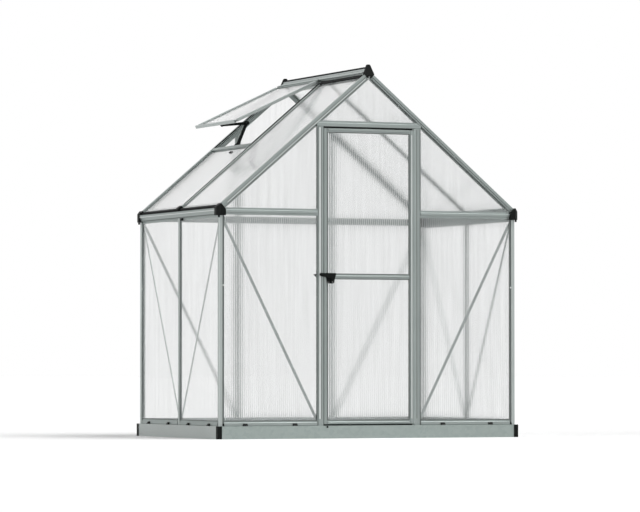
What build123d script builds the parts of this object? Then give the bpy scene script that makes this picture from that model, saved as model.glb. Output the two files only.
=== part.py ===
from build123d import *
import os
from math import asin, atan2, cos, degrees, hypot, radians, sin, sqrt

# A small aluminium greenhouse with twin-wall panels, a hinged door and one roof vent.
# Millimetres. X runs left to right, Y front to back and Z up; the door is in the front, at -Y.
# The origin is on the ground under the middle of the base.

# Overall sizes
WIDTH = 1850.0  # over the base, left to right
LENGTH = 1260.0  # over the base, front to back
EAVE_HEIGHT = 1299.0  # top of the rafters above a side wall's outer face
RIDGE_HEIGHT = 2069.0  # top of the rafters where the two slopes would meet
WALL_INSET = 15.0  # outer faces of the walls behind the outer faces of the base

# Panels and the slots that hold them
PANEL_THICKNESS = 4.0
PANEL_CLEARANCE = 0.3  # on each side of a panel in its slot
PANEL_GROWTH = 1.5  # room for heat between a panel's edge and the bottom of its slot
PANEL_SEAT = 0.2  # under the lower edge of a panel
FACE_DEPTH = 8.0  # outer face of a profile to its slot
FLANGE = 2.4  # inner flange behind a panel
SLOT_DEPTH = 11.0
LIP_SETBACK = 5.0  # outer lip of a slot behind the outer face
PROFILE_DEPTH = 20.0
SKIN = 2.0  # wall of an extruded profile
EDGE_BEVEL = 2.0  # edges of the outer faces
JOINT_GAP = 0.2  # between the ends of neighbouring profiles

# Base frame of folded sheet
BASE_HEIGHT = 72.0
BASE_SHEET = 2.0
BASE_FLANGE = 45.0
BASE_CAP_WALL = 3.0
BASE_CAP_COVER = 26.0  # how far a corner cap reaches along each face
ANCHOR_HOLE = 9.0
ANCHOR_INSET = 160.0  # anchor holes from the front and the back of the base

# Walls
POST_ROUND = 4.0
MID_POST_WIDTH = 34.0
BACK_POST_SPACING = 600.0  # between the middles of the two posts in the back wall
BOTTOM_RAIL_HEIGHT = 31.0
GUTTER_DROP = 56.0  # gutter floor below the rafters' top at the wall face
GUTTER_HEIGHT = 39.0
GUTTER_PROUD = 15.0
GUTTER_LIP = 13.0  # upright upper part of the gutter's outer wall
GUTTER_TAPER = 12.0  # how much narrower the gutter is at its floor
GUTTER_SLOT = 12.0  # depth of the panel slot under the gutter
GUTTER_LEDGE = 23.0  # width of the ledge that carries the roof panels
POST_DROP = 3.0  # tops of the corner posts below the gutter floor
TIE_RISE = 5.0  # lower edges of the tie bars above the tops of the corner posts
TIE_HEIGHT = 39.0
BRACE_WIDTH = 16.0
BRACE_END_WIDTH = 10.0
BRACE_TAPER = 22.0
BRACE_THICKNESS = 2.5
BRACE_TOP_DROP = 18.0  # upper brace bolts below the tops of the corner posts
BRACE_FOOT_RISE = 28.0  # lower brace bolts above the base
BOLT_NECK = 5.0  # square neck under the head of a brace bolt
BOLT_CLEARANCE = 0.1
BOLT_HEAD_WIDTH = 8.0
BOLT_HEAD_HEIGHT = 3.5

# Clips along the foot of the walls
CLIP_WIDTH = 22.0
CLIP_HEIGHT = 13.0
CLIP_THICKNESS = 3.0
CLIP_TAPER = 25.0
CLIP_RISE = 1.0
END_CLIP_PLACES = (-755.0, -455.0, 455.0, 755.0)
SIDE_CLIP_PLACES = (-465.0, -155.0, 155.0, 465.0)

# Roof
RAFTER_CORE = 16.0  # height of the box of a gable rafter, above its slot
RAFTER_LIP = 12.0  # how far the inner flange of a gable rafter hangs below its outer lip
RAFTER_SETBACK = 8.3  # feet of the rafters short of the wall's outer face
RIDGE_ARM = 48.0  # reach of the ridge beam down each slope
RIDGE_ARM_TOP = 5.0  # top of that arm below the rafters' top
RIDGE_TOP_WIDTH = 22.0
RIDGE_TOP_RISE = 18.0  # top of the ridge beam above the line where the slopes meet
RIDGE_SETBACK = 21.0  # ends of the ridge beam behind the outer faces of the end walls
RIDGE_GROOVE = 3.0  # width of the groove along each flank of the ridge
RIDGE_CROWN_WIDTH = 18.0  # strip on top of the ridge
RIDGE_CROWN_HEIGHT = 4.0
RIDGE_CAP_REACH = 37.0  # end caps down each slope, up to the ends of the gable rafters
RIDGE_CAP_SHOULDER = 3.0  # shoulders of an end cap above the rafters' top
RIDGE_CAP_LOBE = 28.0  # lower corners of an end cap below the rafters' top
RIDGE_CAP_PROUD = 4.0
RIDGE_CAP_RISE = 17.0
RIDGE_CAP_LEAN = 16.0  # top of an end cap behind its foot
RIDGE_CAP_HALF_TOP = 10.0
RIDGE_CAP_ROUND = 9.0
RIDGE_SEAL_LENGTH = 21.0
RIDGE_SEAL_HEIGHT = 8.0
EAVE_CAP_PROUD_SIDE = 18.0
EAVE_CAP_PROUD_END = 20.0
EAVE_CAP_RISE = 3.0
EAVE_CAP_DEPTH = 40.0  # inner edge of an eave cap below the rafters' top
EAVE_CAP_CHAMFER = 20.0
SPOUT_DIAMETER = 11.0
SPOUT_BORE = 7.0
SPOUT_LENGTH = 12.0
SPOUT_OFFSET = 4.8  # spout axis outside the corner post, each way
ROOF_OVERHANG = 12.0  # roof panels past the feet of the rafters
SEAL_LENGTH = 14.0
SEAL_WALL = 3.4
FOOT_CAP_LENGTH = 16.0
FOOT_CAP_WIDTH = 40.0

# Door
DOOR_OPENING = 560.0  # between the two jambs
JAMB_WIDTH = 40.0
HEADER_HEIGHT = 33.0
HEADER_CUT = 18.0  # how far the rafters cut down into the header's ends
DOOR_INSET = 2.0  # door face behind the jamb faces
DOOR_SIDE_GAP = 3.0
DOOR_HEAD_GAP = 10.0
DOOR_FOOT_GAP = 9.0
DOOR_SEAL_INSET = 3.0  # seals behind the face of the door
DOOR_SEAL_THICKNESS = 6.0
DOOR_SEAL_CLEARANCE = 1.5
LATCH_STILE_WIDTH = 26.0
HINGE_STILE_WIDTH = 19.0
DOOR_TOP_RAIL_HEIGHT = 25.0
DOOR_BOTTOM_RAIL_HEIGHT = 24.0
MID_RAIL_HEIGHT = 33.0
MID_RAIL_CENTRE = 907.5
DOOR_STOP_GAP = 1.5
DOOR_STOP_REACH = 14.0

# Extruded hinges of the door and the vent: a bead that turns in a socket
BEAD_RADIUS = 4.0
BEAD_CLEARANCE = 0.06
SOCKET_WALL = 2.4
NECK_THICKNESS = 3.0
NECK_MARGIN = 6.0  # degrees past the neck at each end of its travel
DOOR_TRAVEL = 110.0
DOOR_AXIS_OFFSET = 4.5  # door axis inside the jamb's face
DOOR_AXIS_DEPTH = 5.0  # door axis behind the jamb's front
STILE_CLEARANCE = 8.5  # door axis to the edge of the hinge stile

# Door latch
LATCH_PLACE = -228.0
LATCH_PLATE_THICKNESS = 4.0
LATCH_PLATE_HALF_WIDTH = 27.0
LATCH_PLATE_ROUND = 6.0
LATCH_PLATE_RISE = 12.5
EYE_DROP = 31.5  # padlock eyes below the latch spindle
EYE_SPACING = 19.0
EYE_RADIUS = 4.0
EYE_LUG_RADIUS = 9.0
SPINDLE_RADIUS = 3.5
SPINDLE_CLEARANCE = 0.05
SPINDLE_SQUARE = 4.9  # inner end of the spindle, in the cam
HUB_RADIUS = 12.0
HUB_HEIGHT = 11.5
LEVER_REACH = 70.0
LEVER_RISE = 9.5
LEVER_TIP_RADIUS = 8.5
LEVER_THICKNESS = 8.0
LEVER_STANDOFF = 2.0
LUG_THICKNESS = 6.0
PLATE_CLEARANCE = 0.3
CAM_REACH = 30.0
CAM_TIP_RADIUS = 6.0
CAM_HUB_RADIUS = 9.0
CAM_COLLAR = 10.0  # square collar between the cam and the door
CAM_THICKNESS = 4.0
CAM_STANDOFF = 9.0
KEEPER_THICKNESS = 10.0
KEEPER_HEIGHT = 25.0
KEEPER_BEAK = 13.0
KEEPER_CAM_GAP = 4.0  # between the keeper's tongue and the hub of the cam

# Roof vent
VENT_LENGTH = 595.0  # hinge axis to the lower edge
VENT_OPEN = 15.0  # degrees open as built
VENT_LAP = 16.0  # overlap on the rafters beside it
VENT_DEPTH = 18.0
VENT_LIFT = 1.0  # underside of the closed vent above the rafters
VENT_RAIL_WIDTH = 22.0
VENT_AXIS_DOWN = 32.0  # hinge axis down the slope from the middle
VENT_AXIS_RISE = 11.0  # hinge axis above the rafters' top
VENT_RAIL_OFFSET = 9.0  # hinge axis to the hinge rail
SILL_WIDTH = 24.0
SILL_LAP = 5.0  # sill's lower edge inside the vent's lower edge

# Folding stay of the vent
STAY_LOWER = 134.0
STAY_FOLD_ROOM = 0.3  # how much the upper arm is short of lying flat on the closed vent's stay
STAY_LOWER_RADIUS = 9.0
STAY_TIP_RADIUS = 6.0
STAY_ARM_THICKNESS = 6.0
STAY_SIDE_GAP = 0.5
STAY_PIN_RADIUS = 3.0
STAY_PIN_CLEARANCE = 0.05
STAY_SLOT_CLEARANCE = 3.2  # room around the pin in the vent's bracket
SILL_PIVOT_REACH = 36.0  # sill pivot up the slope from the sill
SILL_PIVOT_DROP = 17.0  # sill pivot below the rafters' top
VENT_PIVOT_REACH = 10.0  # vent pivot up the slope from the sill, vent closed
VENT_PIVOT_DROP = 13.0
BRACKET_THICKNESS = 6.0
BRACKET_FOOT = 2.6
BRACKET_FOOT_WIDTH = 22.0

# Places worked out from the sizes above
WALL_X = WIDTH / 2 - WALL_INSET
WALL_Y = LENGTH / 2 - WALL_INSET
RIDGE_END = WALL_Y - RIDGE_SETBACK
PITCH = atan2(RIDGE_HEIGHT - EAVE_HEIGHT, WALL_X)
COS = cos(PITCH)
SIN = sin(PITCH)
SLOT_BACK = FACE_DEPTH + PANEL_THICKNESS + 2 * PANEL_CLEARANCE
FLANGE_BACK = SLOT_BACK + FLANGE
PANEL_FRONT = FACE_DEPTH + PANEL_CLEARANCE
PANEL_BACK = PANEL_FRONT + PANEL_THICKNESS
PANEL_REACH = SLOT_DEPTH - PANEL_GROWTH
POST_LEG = PROFILE_DEPTH + SLOT_DEPTH
MID_HALF = MID_POST_WIDTH / 2
MID_CORE = MID_HALF - SLOT_DEPTH
GUTTER_FLOOR = EAVE_HEIGHT - GUTTER_DROP
POST_TOP = GUTTER_FLOOR - POST_DROP
TIE_LOW = POST_TOP + TIE_RISE
TIE_TOP = TIE_LOW + TIE_HEIGHT
RAFTER_DROP = RAFTER_CORE + SLOT_DEPTH
RAFTER_FLANGE_DROP = RAFTER_DROP + RAFTER_LIP
RAFTER_FOOT = WALL_X / COS - RAFTER_SETBACK
JAMB_OUTER = DOOR_OPENING / 2 + JAMB_WIDTH
BACK_POST = BACK_POST_SPACING / 2
HEADER_TOP = RIDGE_HEIGHT - JAMB_OUTER * SIN / COS - RAFTER_DROP / COS + HEADER_CUT
DOOR_HEAD_HEIGHT = HEADER_TOP - HEADER_HEIGHT
DOOR_FACE = -WALL_Y + DOOR_INSET
DOOR_BACK = DOOR_FACE + PROFILE_DEPTH
DOOR_AXIS = (DOOR_OPENING / 2 - DOOR_AXIS_OFFSET, -WALL_Y + DOOR_AXIS_DEPTH)
DOOR_LEFT = -DOOR_OPENING / 2 + DOOR_SIDE_GAP
DOOR_RIGHT = DOOR_AXIS[0] - STILE_CLEARANCE
DOOR_BOTTOM = BASE_HEIGHT + DOOR_FOOT_GAP
DOOR_TOP = DOOR_HEAD_HEIGHT - DOOR_HEAD_GAP
SOCKET_RADIUS = BEAD_RADIUS + BEAD_CLEARANCE
BAY_FRONT = -WALL_Y + POST_LEG
CAP_INNER_Y = -WALL_Y + POST_LEG
SILL_LOW = VENT_AXIS_DOWN + VENT_LENGTH - SILL_LAP
SILL_HIGH = SILL_LOW - SILL_WIDTH
VENT_TOP = VENT_LIFT + VENT_DEPTH
STAY_Y = (MID_HALF + WALL_Y - POST_LEG) / 2


def on_slope(down, rise):
    """Point (x, z) on the left slope: distance down from the middle and height above the rafters' top."""
    return (-down * COS - rise * SIN, RIDGE_HEIGHT - down * SIN + rise * COS)


def height_at(x, rise):
    """Height on the left slope above the place x, at a distance from the rafters' top."""
    return RIDGE_HEIGHT + x * SIN / COS + rise / COS


def mirrored(points):
    """Points (x, z) on the right side, in reverse order."""
    return [(-x, z) for x, z in reversed(points)]


def outline(points):
    """Flat face with straight edges."""
    return make_face(Polyline(*points, close=True))


def box_face(u0, u1, v0, v1):
    """Rectangle between two corners."""
    return Pos((u0 + u1) / 2, (v0 + v1) / 2) * Rectangle(abs(u1 - u0), abs(v1 - v0))


def section(*groups):
    """One section from groups of rectangles (u0, u1, v0, v1); u is the depth behind the outer face."""
    faces = [box_face(*sides) for group in groups for sides in group]
    return faces[0] + faces[1:]


def swapped(sides):
    """The same rectangles with depth and width exchanged."""
    return [(v0, v1, u0, u1) for u0, u1, v0, v1 in sides]


def tube(u0, u1, v0, v1):
    """Four walls of a hollow box."""
    return [
        (u0, u0 + SKIN, v0, v1),
        (u1 - SKIN, u1, v0, v1),
        (u0, u1, v0, v0 + SKIN),
        (u0, u1, v1 - SKIN, v1),
    ]


def slot_edge(core, edge):
    """Panel slot from the side of the core out to the edge: outer lip and inner flange."""
    return [(LIP_SETBACK, FACE_DEPTH, core, edge), (SLOT_BACK, FLANGE_BACK, core, edge)]


def corner_at(face, place):
    """Corner of a section at a place (u, v)."""
    return face.vertices().sort_by_distance((*place, 0))[0]


def bevelled(face, corners):
    """Section with a bevel at each of its corners (u, v)."""
    side = EDGE_BEVEL * sqrt(2)
    for corner in corners:
        face -= Pos(*corner) * Rot(0, 0, 45) * Rectangle(side, side)
    return face


def eased(face):
    """Section with the corners of its outer face bevelled."""
    return bevelled(face, [(corner.X, corner.Y) for corner in face.vertices() if corner.X < JOINT_GAP])


def along_x(face, x0, x1, front):
    """Section (depth, z) run along X behind the plane y = front."""
    return extrude(Plane((x0, front, 0), x_dir=(0, 1, 0), z_dir=(1, 0, 0)) * face, amount=x1 - x0)


def along_y(face, y0, y1):
    """Section (x, z) run along Y."""
    return extrude(Plane((0, y1, 0), x_dir=(1, 0, 0), z_dir=(0, -1, 0)) * face, amount=y1 - y0)


def along_left_wall(face, y0, y1):
    """Section (depth, z) run along Y behind the left wall's face."""
    return along_y(Pos(-WALL_X, 0) * face, y0, y1)


def down_slope(face, s0, s1):
    """Section (depth, y) run along the left slope."""
    x, z = on_slope(s1, 0)
    foot = Plane((x, 0, z), x_dir=(SIN, 0, -COS), z_dir=(COS, 0, SIN))
    return extrude(foot * face, amount=s1 - s0)


def slope_face(s0, s1, n0, n1):
    """Rectangle laid on the left slope, as a face in (x, z)."""
    return outline([on_slope(s0, n0), on_slope(s1, n0), on_slope(s1, n1), on_slope(s0, n1)])


def sheet_facing_left(points, thickness, x0):
    """Plate with an outline in (y, z)."""
    return extrude(Plane((x0, 0, 0), x_dir=(0, 1, 0), z_dir=(1, 0, 0)) * outline(points), amount=thickness)


def to_right(shape):
    return mirror(shape, about=Plane.YZ)


def to_back(shape):
    return mirror(shape, about=Plane.XZ)


def both_sides(shape):
    return [shape, to_right(shape)]


def four_corners(shape):
    return [turned for half in both_sides(shape) for turned in (half, to_back(half))]


def group(shapes):
    """Several separate solids as one node."""
    return Compound(children=[solid for shape in shapes for solid in shape.solids()])


def round_rod(x, y, z, radius, axis, length):
    """Cylinder that starts at a point and runs along an axis."""
    return extrude(Plane((x, y, z), z_dir=axis) * Circle(radius), amount=length)


def hinge_socket(first, last):
    """C-shaped socket of a bead hinge, open to the neck between two directions in degrees."""
    reach = 2 * (SOCKET_RADIUS + SOCKET_WALL)
    side = degrees(asin(NECK_THICKNESS / 2 / SOCKET_RADIUS)) + NECK_MARGIN
    start = first - side
    step = (last - first + 2 * side) / 4
    turns = [radians(start + step * i) for i in range(5)]
    mouth = outline([(0, 0)] + [(reach * cos(turn), reach * sin(turn)) for turn in turns])
    return Circle(SOCKET_RADIUS + SOCKET_WALL) - Circle(SOCKET_RADIUS) - mouth


def arm_face(start, start_radius, end, end_radius):
    """Flat arm with round ends."""
    ends = (Pos(*start) * Circle(start_radius)).edges() + (Pos(*end) * Circle(end_radius)).edges()
    return make_hull(ends)


# Base


def base_rail(length):
    """Folded channel along X with its web at y = 0, its flanges inward and its ends mitred."""
    web = [(0, BASE_SHEET, 0, BASE_HEIGHT)]
    flanges = [(0, BASE_FLANGE, 0, BASE_SHEET), (0, BASE_FLANGE, BASE_HEIGHT - BASE_SHEET, BASE_HEIGHT)]
    run = along_x(section(web, flanges), -length / 2, length / 2, 0)
    half = length / 2 - JOINT_GAP
    inner = half - BASE_FLANGE
    mitre = outline([(-half, 0), (half, 0), (inner, BASE_FLANGE), (-inner, BASE_FLANGE)])
    return run & extrude(mitre, amount=BASE_HEIGHT)


def base_rail_front():
    return Pos(0, -LENGTH / 2 + BASE_CAP_WALL, 0) * base_rail(WIDTH - 2 * BASE_CAP_WALL)


def base_rail_left():
    rail = Rot(0, 0, -90) * base_rail(LENGTH - 2 * BASE_CAP_WALL)
    rail = Pos(-WIDTH / 2 + BASE_CAP_WALL, 0, 0) * rail
    anchor_x = -WIDTH / 2 + BASE_CAP_WALL + BASE_FLANGE / 2
    for y in (-LENGTH / 2 + ANCHOR_INSET, LENGTH / 2 - ANCHOR_INSET):
        rail -= round_rod(anchor_x, y, 0, ANCHOR_HOLE / 2, (0, 0, 1), BASE_SHEET)
    return rail


def base_corner_cap():
    """Moulded corner over the front left mitre of the base."""
    walls = [(0, BASE_CAP_WALL, 0, BASE_CAP_COVER), (0, BASE_CAP_COVER, 0, BASE_CAP_WALL)]
    face = bevelled(section(walls), [(0, 0)])
    return Pos(-WIDTH / 2, -LENGTH / 2, 0) * extrude(face, amount=BASE_HEIGHT)


# Walls

SIDE_BRACE_TOP = (-WALL_Y + PROFILE_DEPTH + SLOT_DEPTH / 2, POST_TOP - BRACE_TOP_DROP)
SIDE_BRACE_FOOT = (-MID_CORE - SLOT_DEPTH / 2, BASE_HEIGHT + BRACE_FOOT_RISE)
END_BRACE_TOP = (-WALL_X + PROFILE_DEPTH + SLOT_DEPTH / 2, POST_TOP - BRACE_TOP_DROP)
FRONT_BRACE_FOOT = (-JAMB_OUTER + SLOT_DEPTH / 2, BASE_HEIGHT + BRACE_FOOT_RISE)
BACK_BRACE_FOOT = (-BACK_POST - MID_CORE - SLOT_DEPTH / 2, BASE_HEIGHT + BRACE_FOOT_RISE)


def wall_plane(place, wall):
    """Plane on the inner flanges of the left or the front wall, facing inside."""
    if wall == "side":
        return Plane((-WALL_X + FLANGE_BACK, place[0], place[1]), x_dir=(0, 1, 0), z_dir=(1, 0, 0))
    return Plane((place[0], -WALL_Y + FLANGE_BACK, place[1]), x_dir=(-1, 0, 0), z_dir=(0, 1, 0))


def bolt_hole(place, wall, depth=-FLANGE):
    """Square bolt hole at a place in a wall, through the inner flange or a brace on it."""
    side = BOLT_NECK + 2 * BOLT_CLEARANCE
    return extrude(wall_plane(place, wall) * Rectangle(side, side), amount=depth)


def corner_post():
    """Front left corner post: a hollow corner with a panel slot along each wall."""
    leg = slot_edge(PROFILE_DEPTH, POST_LEG)
    face = section(tube(0, PROFILE_DEPTH, 0, PROFILE_DEPTH), leg, swapped(leg))
    face = fillet(corner_at(face, (0, 0)), POST_ROUND)
    face = bevelled(face, [(0, PROFILE_DEPTH), (PROFILE_DEPTH, 0)])
    post = Pos(-WALL_X, -WALL_Y, BASE_HEIGHT) * extrude(face, amount=POST_TOP - BASE_HEIGHT)
    return post - bolt_hole(SIDE_BRACE_TOP, "side") - bolt_hole(END_BRACE_TOP, "end")


def tee_section():
    """Middle profile with a panel slot on both sides; width along v, about 0."""
    core = tube(0, PROFILE_DEPTH, -MID_CORE, MID_CORE)
    return eased(section(core, slot_edge(MID_CORE, MID_HALF), slot_edge(-MID_CORE, -MID_HALF)))


def side_post_left():
    foot = Plane((-WALL_X, 0, BASE_HEIGHT), x_dir=(1, 0, 0), z_dir=(0, 0, 1))
    post = extrude(foot * tee_section(), amount=GUTTER_FLOOR - JOINT_GAP - BASE_HEIGHT)
    hole = bolt_hole(SIDE_BRACE_FOOT, "side")
    return post - hole - to_back(hole)


def above_roof(rise, y0, y1):
    """Everything above a line that runs parallel to both slopes."""
    far = RAFTER_FOOT + POST_LEG
    left = on_slope(far, rise)
    top = RIDGE_HEIGHT + far
    middle = (0, RIDGE_HEIGHT + rise / COS)
    return along_y(outline([left, middle, (-left[0], left[1]), (-left[0], top), (left[0], top)]), y0, y1)


def under_front_rafters(shape):
    """Cut a front wall profile to fit under the gable rafters and in front of their inner flanges."""
    split = -WALL_Y + SLOT_BACK - PANEL_CLEARANCE
    shape -= above_roof(-RAFTER_DROP - PANEL_CLEARANCE, -WALL_Y - PROFILE_DEPTH, 0)
    return shape - above_roof(-RAFTER_FLANGE_DROP - PANEL_CLEARANCE, split, 0)


def back_post():
    """Left back post, drawn in the front wall: from the base up to the gable rafter."""
    foot = Plane((-BACK_POST, -WALL_Y, RIDGE_HEIGHT), x_dir=(0, 1, 0), z_dir=(0, 0, -1))
    post = extrude(foot * tee_section(), amount=RIDGE_HEIGHT - BASE_HEIGHT)
    return under_front_rafters(post) - bolt_hole(BACK_BRACE_FOOT, "end")


def jamb_section():
    """Door jamb with a panel slot at v = 0 and a stop behind the edge of the door."""
    stop_front = DOOR_INSET + PROFILE_DEPTH + DOOR_STOP_GAP
    stop = [
        (PROFILE_DEPTH, stop_front + SKIN, JAMB_WIDTH - SKIN, JAMB_WIDTH),
        (stop_front, stop_front + SKIN, JAMB_WIDTH - SKIN, JAMB_WIDTH + DOOR_STOP_REACH),
    ]
    core = tube(0, PROFILE_DEPTH, SLOT_DEPTH, JAMB_WIDTH)
    return eased(section(core, slot_edge(SLOT_DEPTH, 0), stop))


def jamb():
    """Left door jamb."""
    head = Plane((-JAMB_OUTER, -WALL_Y, DOOR_HEAD_HEIGHT), x_dir=(0, 1, 0), z_dir=(0, 0, -1))
    post = extrude(head * jamb_section(), amount=DOOR_HEAD_HEIGHT - BASE_HEIGHT)
    return under_front_rafters(post) - bolt_hole(FRONT_BRACE_FOOT, "end")


def hinge_jamb():
    """Right door jamb with the socket that the door's bead turns in."""
    socket = Pos(*DOOR_AXIS, BASE_HEIGHT) * hinge_socket(180, 180 + DOOR_TRAVEL)
    return to_right(jamb()) + extrude(socket, amount=DOOR_HEAD_HEIGHT - BASE_HEIGHT)


def door_header():
    """Rail over the door: its ends cut to the rafters and coped for the panels, a stop behind the door."""
    core_top = HEADER_TOP - SLOT_DEPTH
    core = tube(0, PROFILE_DEPTH, DOOR_HEAD_HEIGHT, core_top)
    face = eased(section(core, slot_edge(core_top, HEADER_TOP)))
    rail = along_x(face, -JAMB_OUTER, JAMB_OUTER, -WALL_Y)
    stop_front = DOOR_INSET + PROFILE_DEPTH + DOOR_STOP_GAP
    stop = [
        (PROFILE_DEPTH, stop_front + SKIN, DOOR_HEAD_HEIGHT, DOOR_HEAD_HEIGHT + SKIN),
        (stop_front, stop_front + SKIN, DOOR_HEAD_HEIGHT - DOOR_STOP_REACH, DOOR_HEAD_HEIGHT + SKIN),
    ]
    reach = DOOR_OPENING / 2 - DOOR_STOP_REACH - JOINT_GAP
    rail = under_front_rafters(rail) + along_x(section(stop), -reach, reach, -WALL_Y)
    pocket = section([(FACE_DEPTH, SLOT_BACK, DOOR_HEAD_HEIGHT, HEADER_TOP)])
    for cope in both_sides(along_x(pocket, -JAMB_OUTER, -JAMB_OUTER + SLOT_DEPTH, -WALL_Y)):
        rail -= cope
    return rail


def bottom_rail_section():
    top = BASE_HEIGHT + BOTTOM_RAIL_HEIGHT
    core = tube(0, PROFILE_DEPTH, BASE_HEIGHT, top - SLOT_DEPTH)
    return eased(section(core, slot_edge(top - SLOT_DEPTH, top)))


def bottom_rails_ends():
    """Rails under the end wall panels: one on each side of the door and three along the back."""
    face = bottom_rail_section()
    corner = WALL_X - POST_LEG - JOINT_GAP
    front = along_x(face, -corner, -JAMB_OUTER - JOINT_GAP, -WALL_Y)
    post = BACK_POST + MID_HALF + JOINT_GAP
    back_side = along_x(face, -corner, -post, -WALL_Y)
    middle = BACK_POST - MID_HALF - JOINT_GAP
    back_middle = along_x(face, -middle, middle, -WALL_Y)
    back = [to_back(rail) for rail in both_sides(back_side) + [back_middle]]
    return group(both_sides(front) + back)


def bottom_rails_sides():
    front = along_left_wall(bottom_rail_section(), BAY_FRONT + JOINT_GAP, -MID_HALF - JOINT_GAP)
    return group(four_corners(front))


def tie_section():
    """Rail between a lower and an upper panel."""
    core = tube(0, PROFILE_DEPTH, TIE_LOW + SLOT_DEPTH, TIE_TOP - SLOT_DEPTH)
    lower = slot_edge(TIE_LOW + SLOT_DEPTH, TIE_LOW)
    return eased(section(core, lower, slot_edge(TIE_TOP - SLOT_DEPTH, TIE_TOP)))


def end_wall_tie_bars():
    """Rails at eaves height: one on each side of the door and three along the back."""
    face = tie_section()
    corner = -eave_cap_inner_x() - JOINT_GAP
    front = along_x(face, -corner, -JAMB_OUTER - JOINT_GAP, -WALL_Y)
    back_side = along_x(face, -corner, -BACK_POST - MID_HALF - JOINT_GAP, -WALL_Y)
    middle = BACK_POST - MID_HALF - JOINT_GAP
    back_middle = along_x(face, -middle, middle, -WALL_Y)
    clear_of_rafters = [under_front_rafters(rail) for rail in (front, back_side, back_middle)]
    back = [to_back(rail) for rail in both_sides(clear_of_rafters[1]) + [clear_of_rafters[2]]]
    return group(both_sides(clear_of_rafters[0]) + back)


def gutter_left():
    """Eaves beam: an open gutter outside, a panel slot below and a sloping ledge for the roof panels."""
    top = GUTTER_FLOOR + GUTTER_HEIGHT
    outer = -GUTTER_PROUD
    foot = outer + GUTTER_TAPER
    wall_top = on_slope(RAFTER_FOOT, -PROFILE_DEPTH)[1] - 2 * JOINT_GAP
    knee = top - GUTTER_LIP
    outside = [(outer, top), (outer, knee), (foot, GUTTER_FLOOR)]
    side = outline(outside + [(x + SKIN, z) for x, z in reversed(outside)])
    channel = [
        (outer, outer + 2 * SKIN, top - SKIN, top),
        (foot, PROFILE_DEPTH, GUTTER_FLOOR, GUTTER_FLOOR + SKIN),
        (PROFILE_DEPTH - SKIN, PROFILE_DEPTH, GUTTER_FLOOR, wall_top),
    ]
    end = CAP_INNER_Y + JOINT_GAP
    beam = along_left_wall(section(channel) + side, end, -end)
    ledge_end = RAFTER_FOOT - PANEL_CLEARANCE
    ledge = slope_face(ledge_end - GUTTER_LEDGE, ledge_end, -FLANGE_BACK, -SLOT_BACK)
    inner = -WALL_X + PROFILE_DEPTH
    web = outline(
        [
            (inner - SKIN, wall_top - SKIN),
            (inner, wall_top - SKIN),
            (inner, height_at(inner, -SLOT_BACK - SKIN)),
            (inner - SKIN, height_at(inner - SKIN, -SLOT_BACK - SKIN)),
        ]
    )
    slot = section(slot_edge(GUTTER_FLOOR + SKIN, GUTTER_FLOOR - GUTTER_SLOT))
    bay = along_y(ledge + web, BAY_FRONT + JOINT_GAP, -MID_HALF - JOINT_GAP)
    bay += along_left_wall(slot, BAY_FRONT + JOINT_GAP, -MID_HALF - JOINT_GAP)
    return beam + bay + to_back(bay)


def brace_plate(length):
    """Flat bar along X with narrowed ends and cut corners."""
    end = BRACE_END_WIDTH / 2
    half = BRACE_WIDTH / 2
    tip = [(-end, end / 2), (-end / 2, end), (BRACE_TAPER, half)]
    upper = tip + [(length - along, side) for along, side in reversed(tip)]
    lower = [(along, -side) for along, side in reversed(upper)]
    return extrude(outline(upper + lower), amount=BRACE_THICKNESS)


def brace_bolt():
    """Square-necked bolt with a hexagon head above z = 0."""
    head = extrude(RegularPolygon(BOLT_HEAD_WIDTH / 2, 6, major_radius=False), amount=BOLT_HEAD_HEIGHT)
    neck = BRACE_THICKNESS + FLANGE - JOINT_GAP
    return head + extrude(Rectangle(BOLT_NECK, BOLT_NECK), amount=-neck)


def brace(foot, top, wall):
    """Brace and its two bolts between two places in a wall."""
    rise = top[1] - foot[1]
    run = top[0] - foot[0] if wall == "side" else foot[0] - top[0]
    base = wall_plane(foot, wall)
    bar = base * Rot(0, 0, degrees(atan2(rise, run))) * brace_plate(hypot(run, rise))
    for place in (foot, top):
        bar -= bolt_hole(place, wall, BRACE_THICKNESS)
    lift = Pos(0, 0, BRACE_THICKNESS)
    bolts = [wall_plane(place, wall) * lift * brace_bolt() for place in (foot, top)]
    return bar, bolts


def wall_braces():
    """All braces and all their bolts."""
    side_bar, side_bolts = brace(SIDE_BRACE_FOOT, SIDE_BRACE_TOP, "side")
    front_bar, front_bolts = brace(FRONT_BRACE_FOOT, END_BRACE_TOP, "end")
    back_bar, back_bolts = brace(BACK_BRACE_FOOT, END_BRACE_TOP, "end")
    bars = four_corners(side_bar) + both_sides(front_bar) + both_sides(to_back(back_bar))
    bolts = [copy for bolt in side_bolts for copy in four_corners(bolt)]
    bolts += [copy for bolt in front_bolts for copy in both_sides(bolt)]
    bolts += [copy for bolt in back_bolts for copy in both_sides(to_back(bolt))]
    return group(bars), group(bolts)


def panel_clips():
    """Tapered clips along the outside of the bottom rails."""
    clip = extrude(Rectangle(CLIP_WIDTH, CLIP_HEIGHT), amount=CLIP_THICKNESS, taper=CLIP_TAPER)
    height = BASE_HEIGHT + CLIP_RISE + CLIP_HEIGHT / 2
    clips = []
    for x in END_CLIP_PLACES:
        front = Plane((x, -WALL_Y, height), x_dir=(1, 0, 0), z_dir=(0, -1, 0)) * clip
        clips += [front, to_back(front)]
    for y in SIDE_CLIP_PLACES:
        left = Plane((-WALL_X, y, height), x_dir=(0, -1, 0), z_dir=(-1, 0, 0)) * clip
        clips += both_sides(left)
    return group(clips)


# Roof


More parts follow.
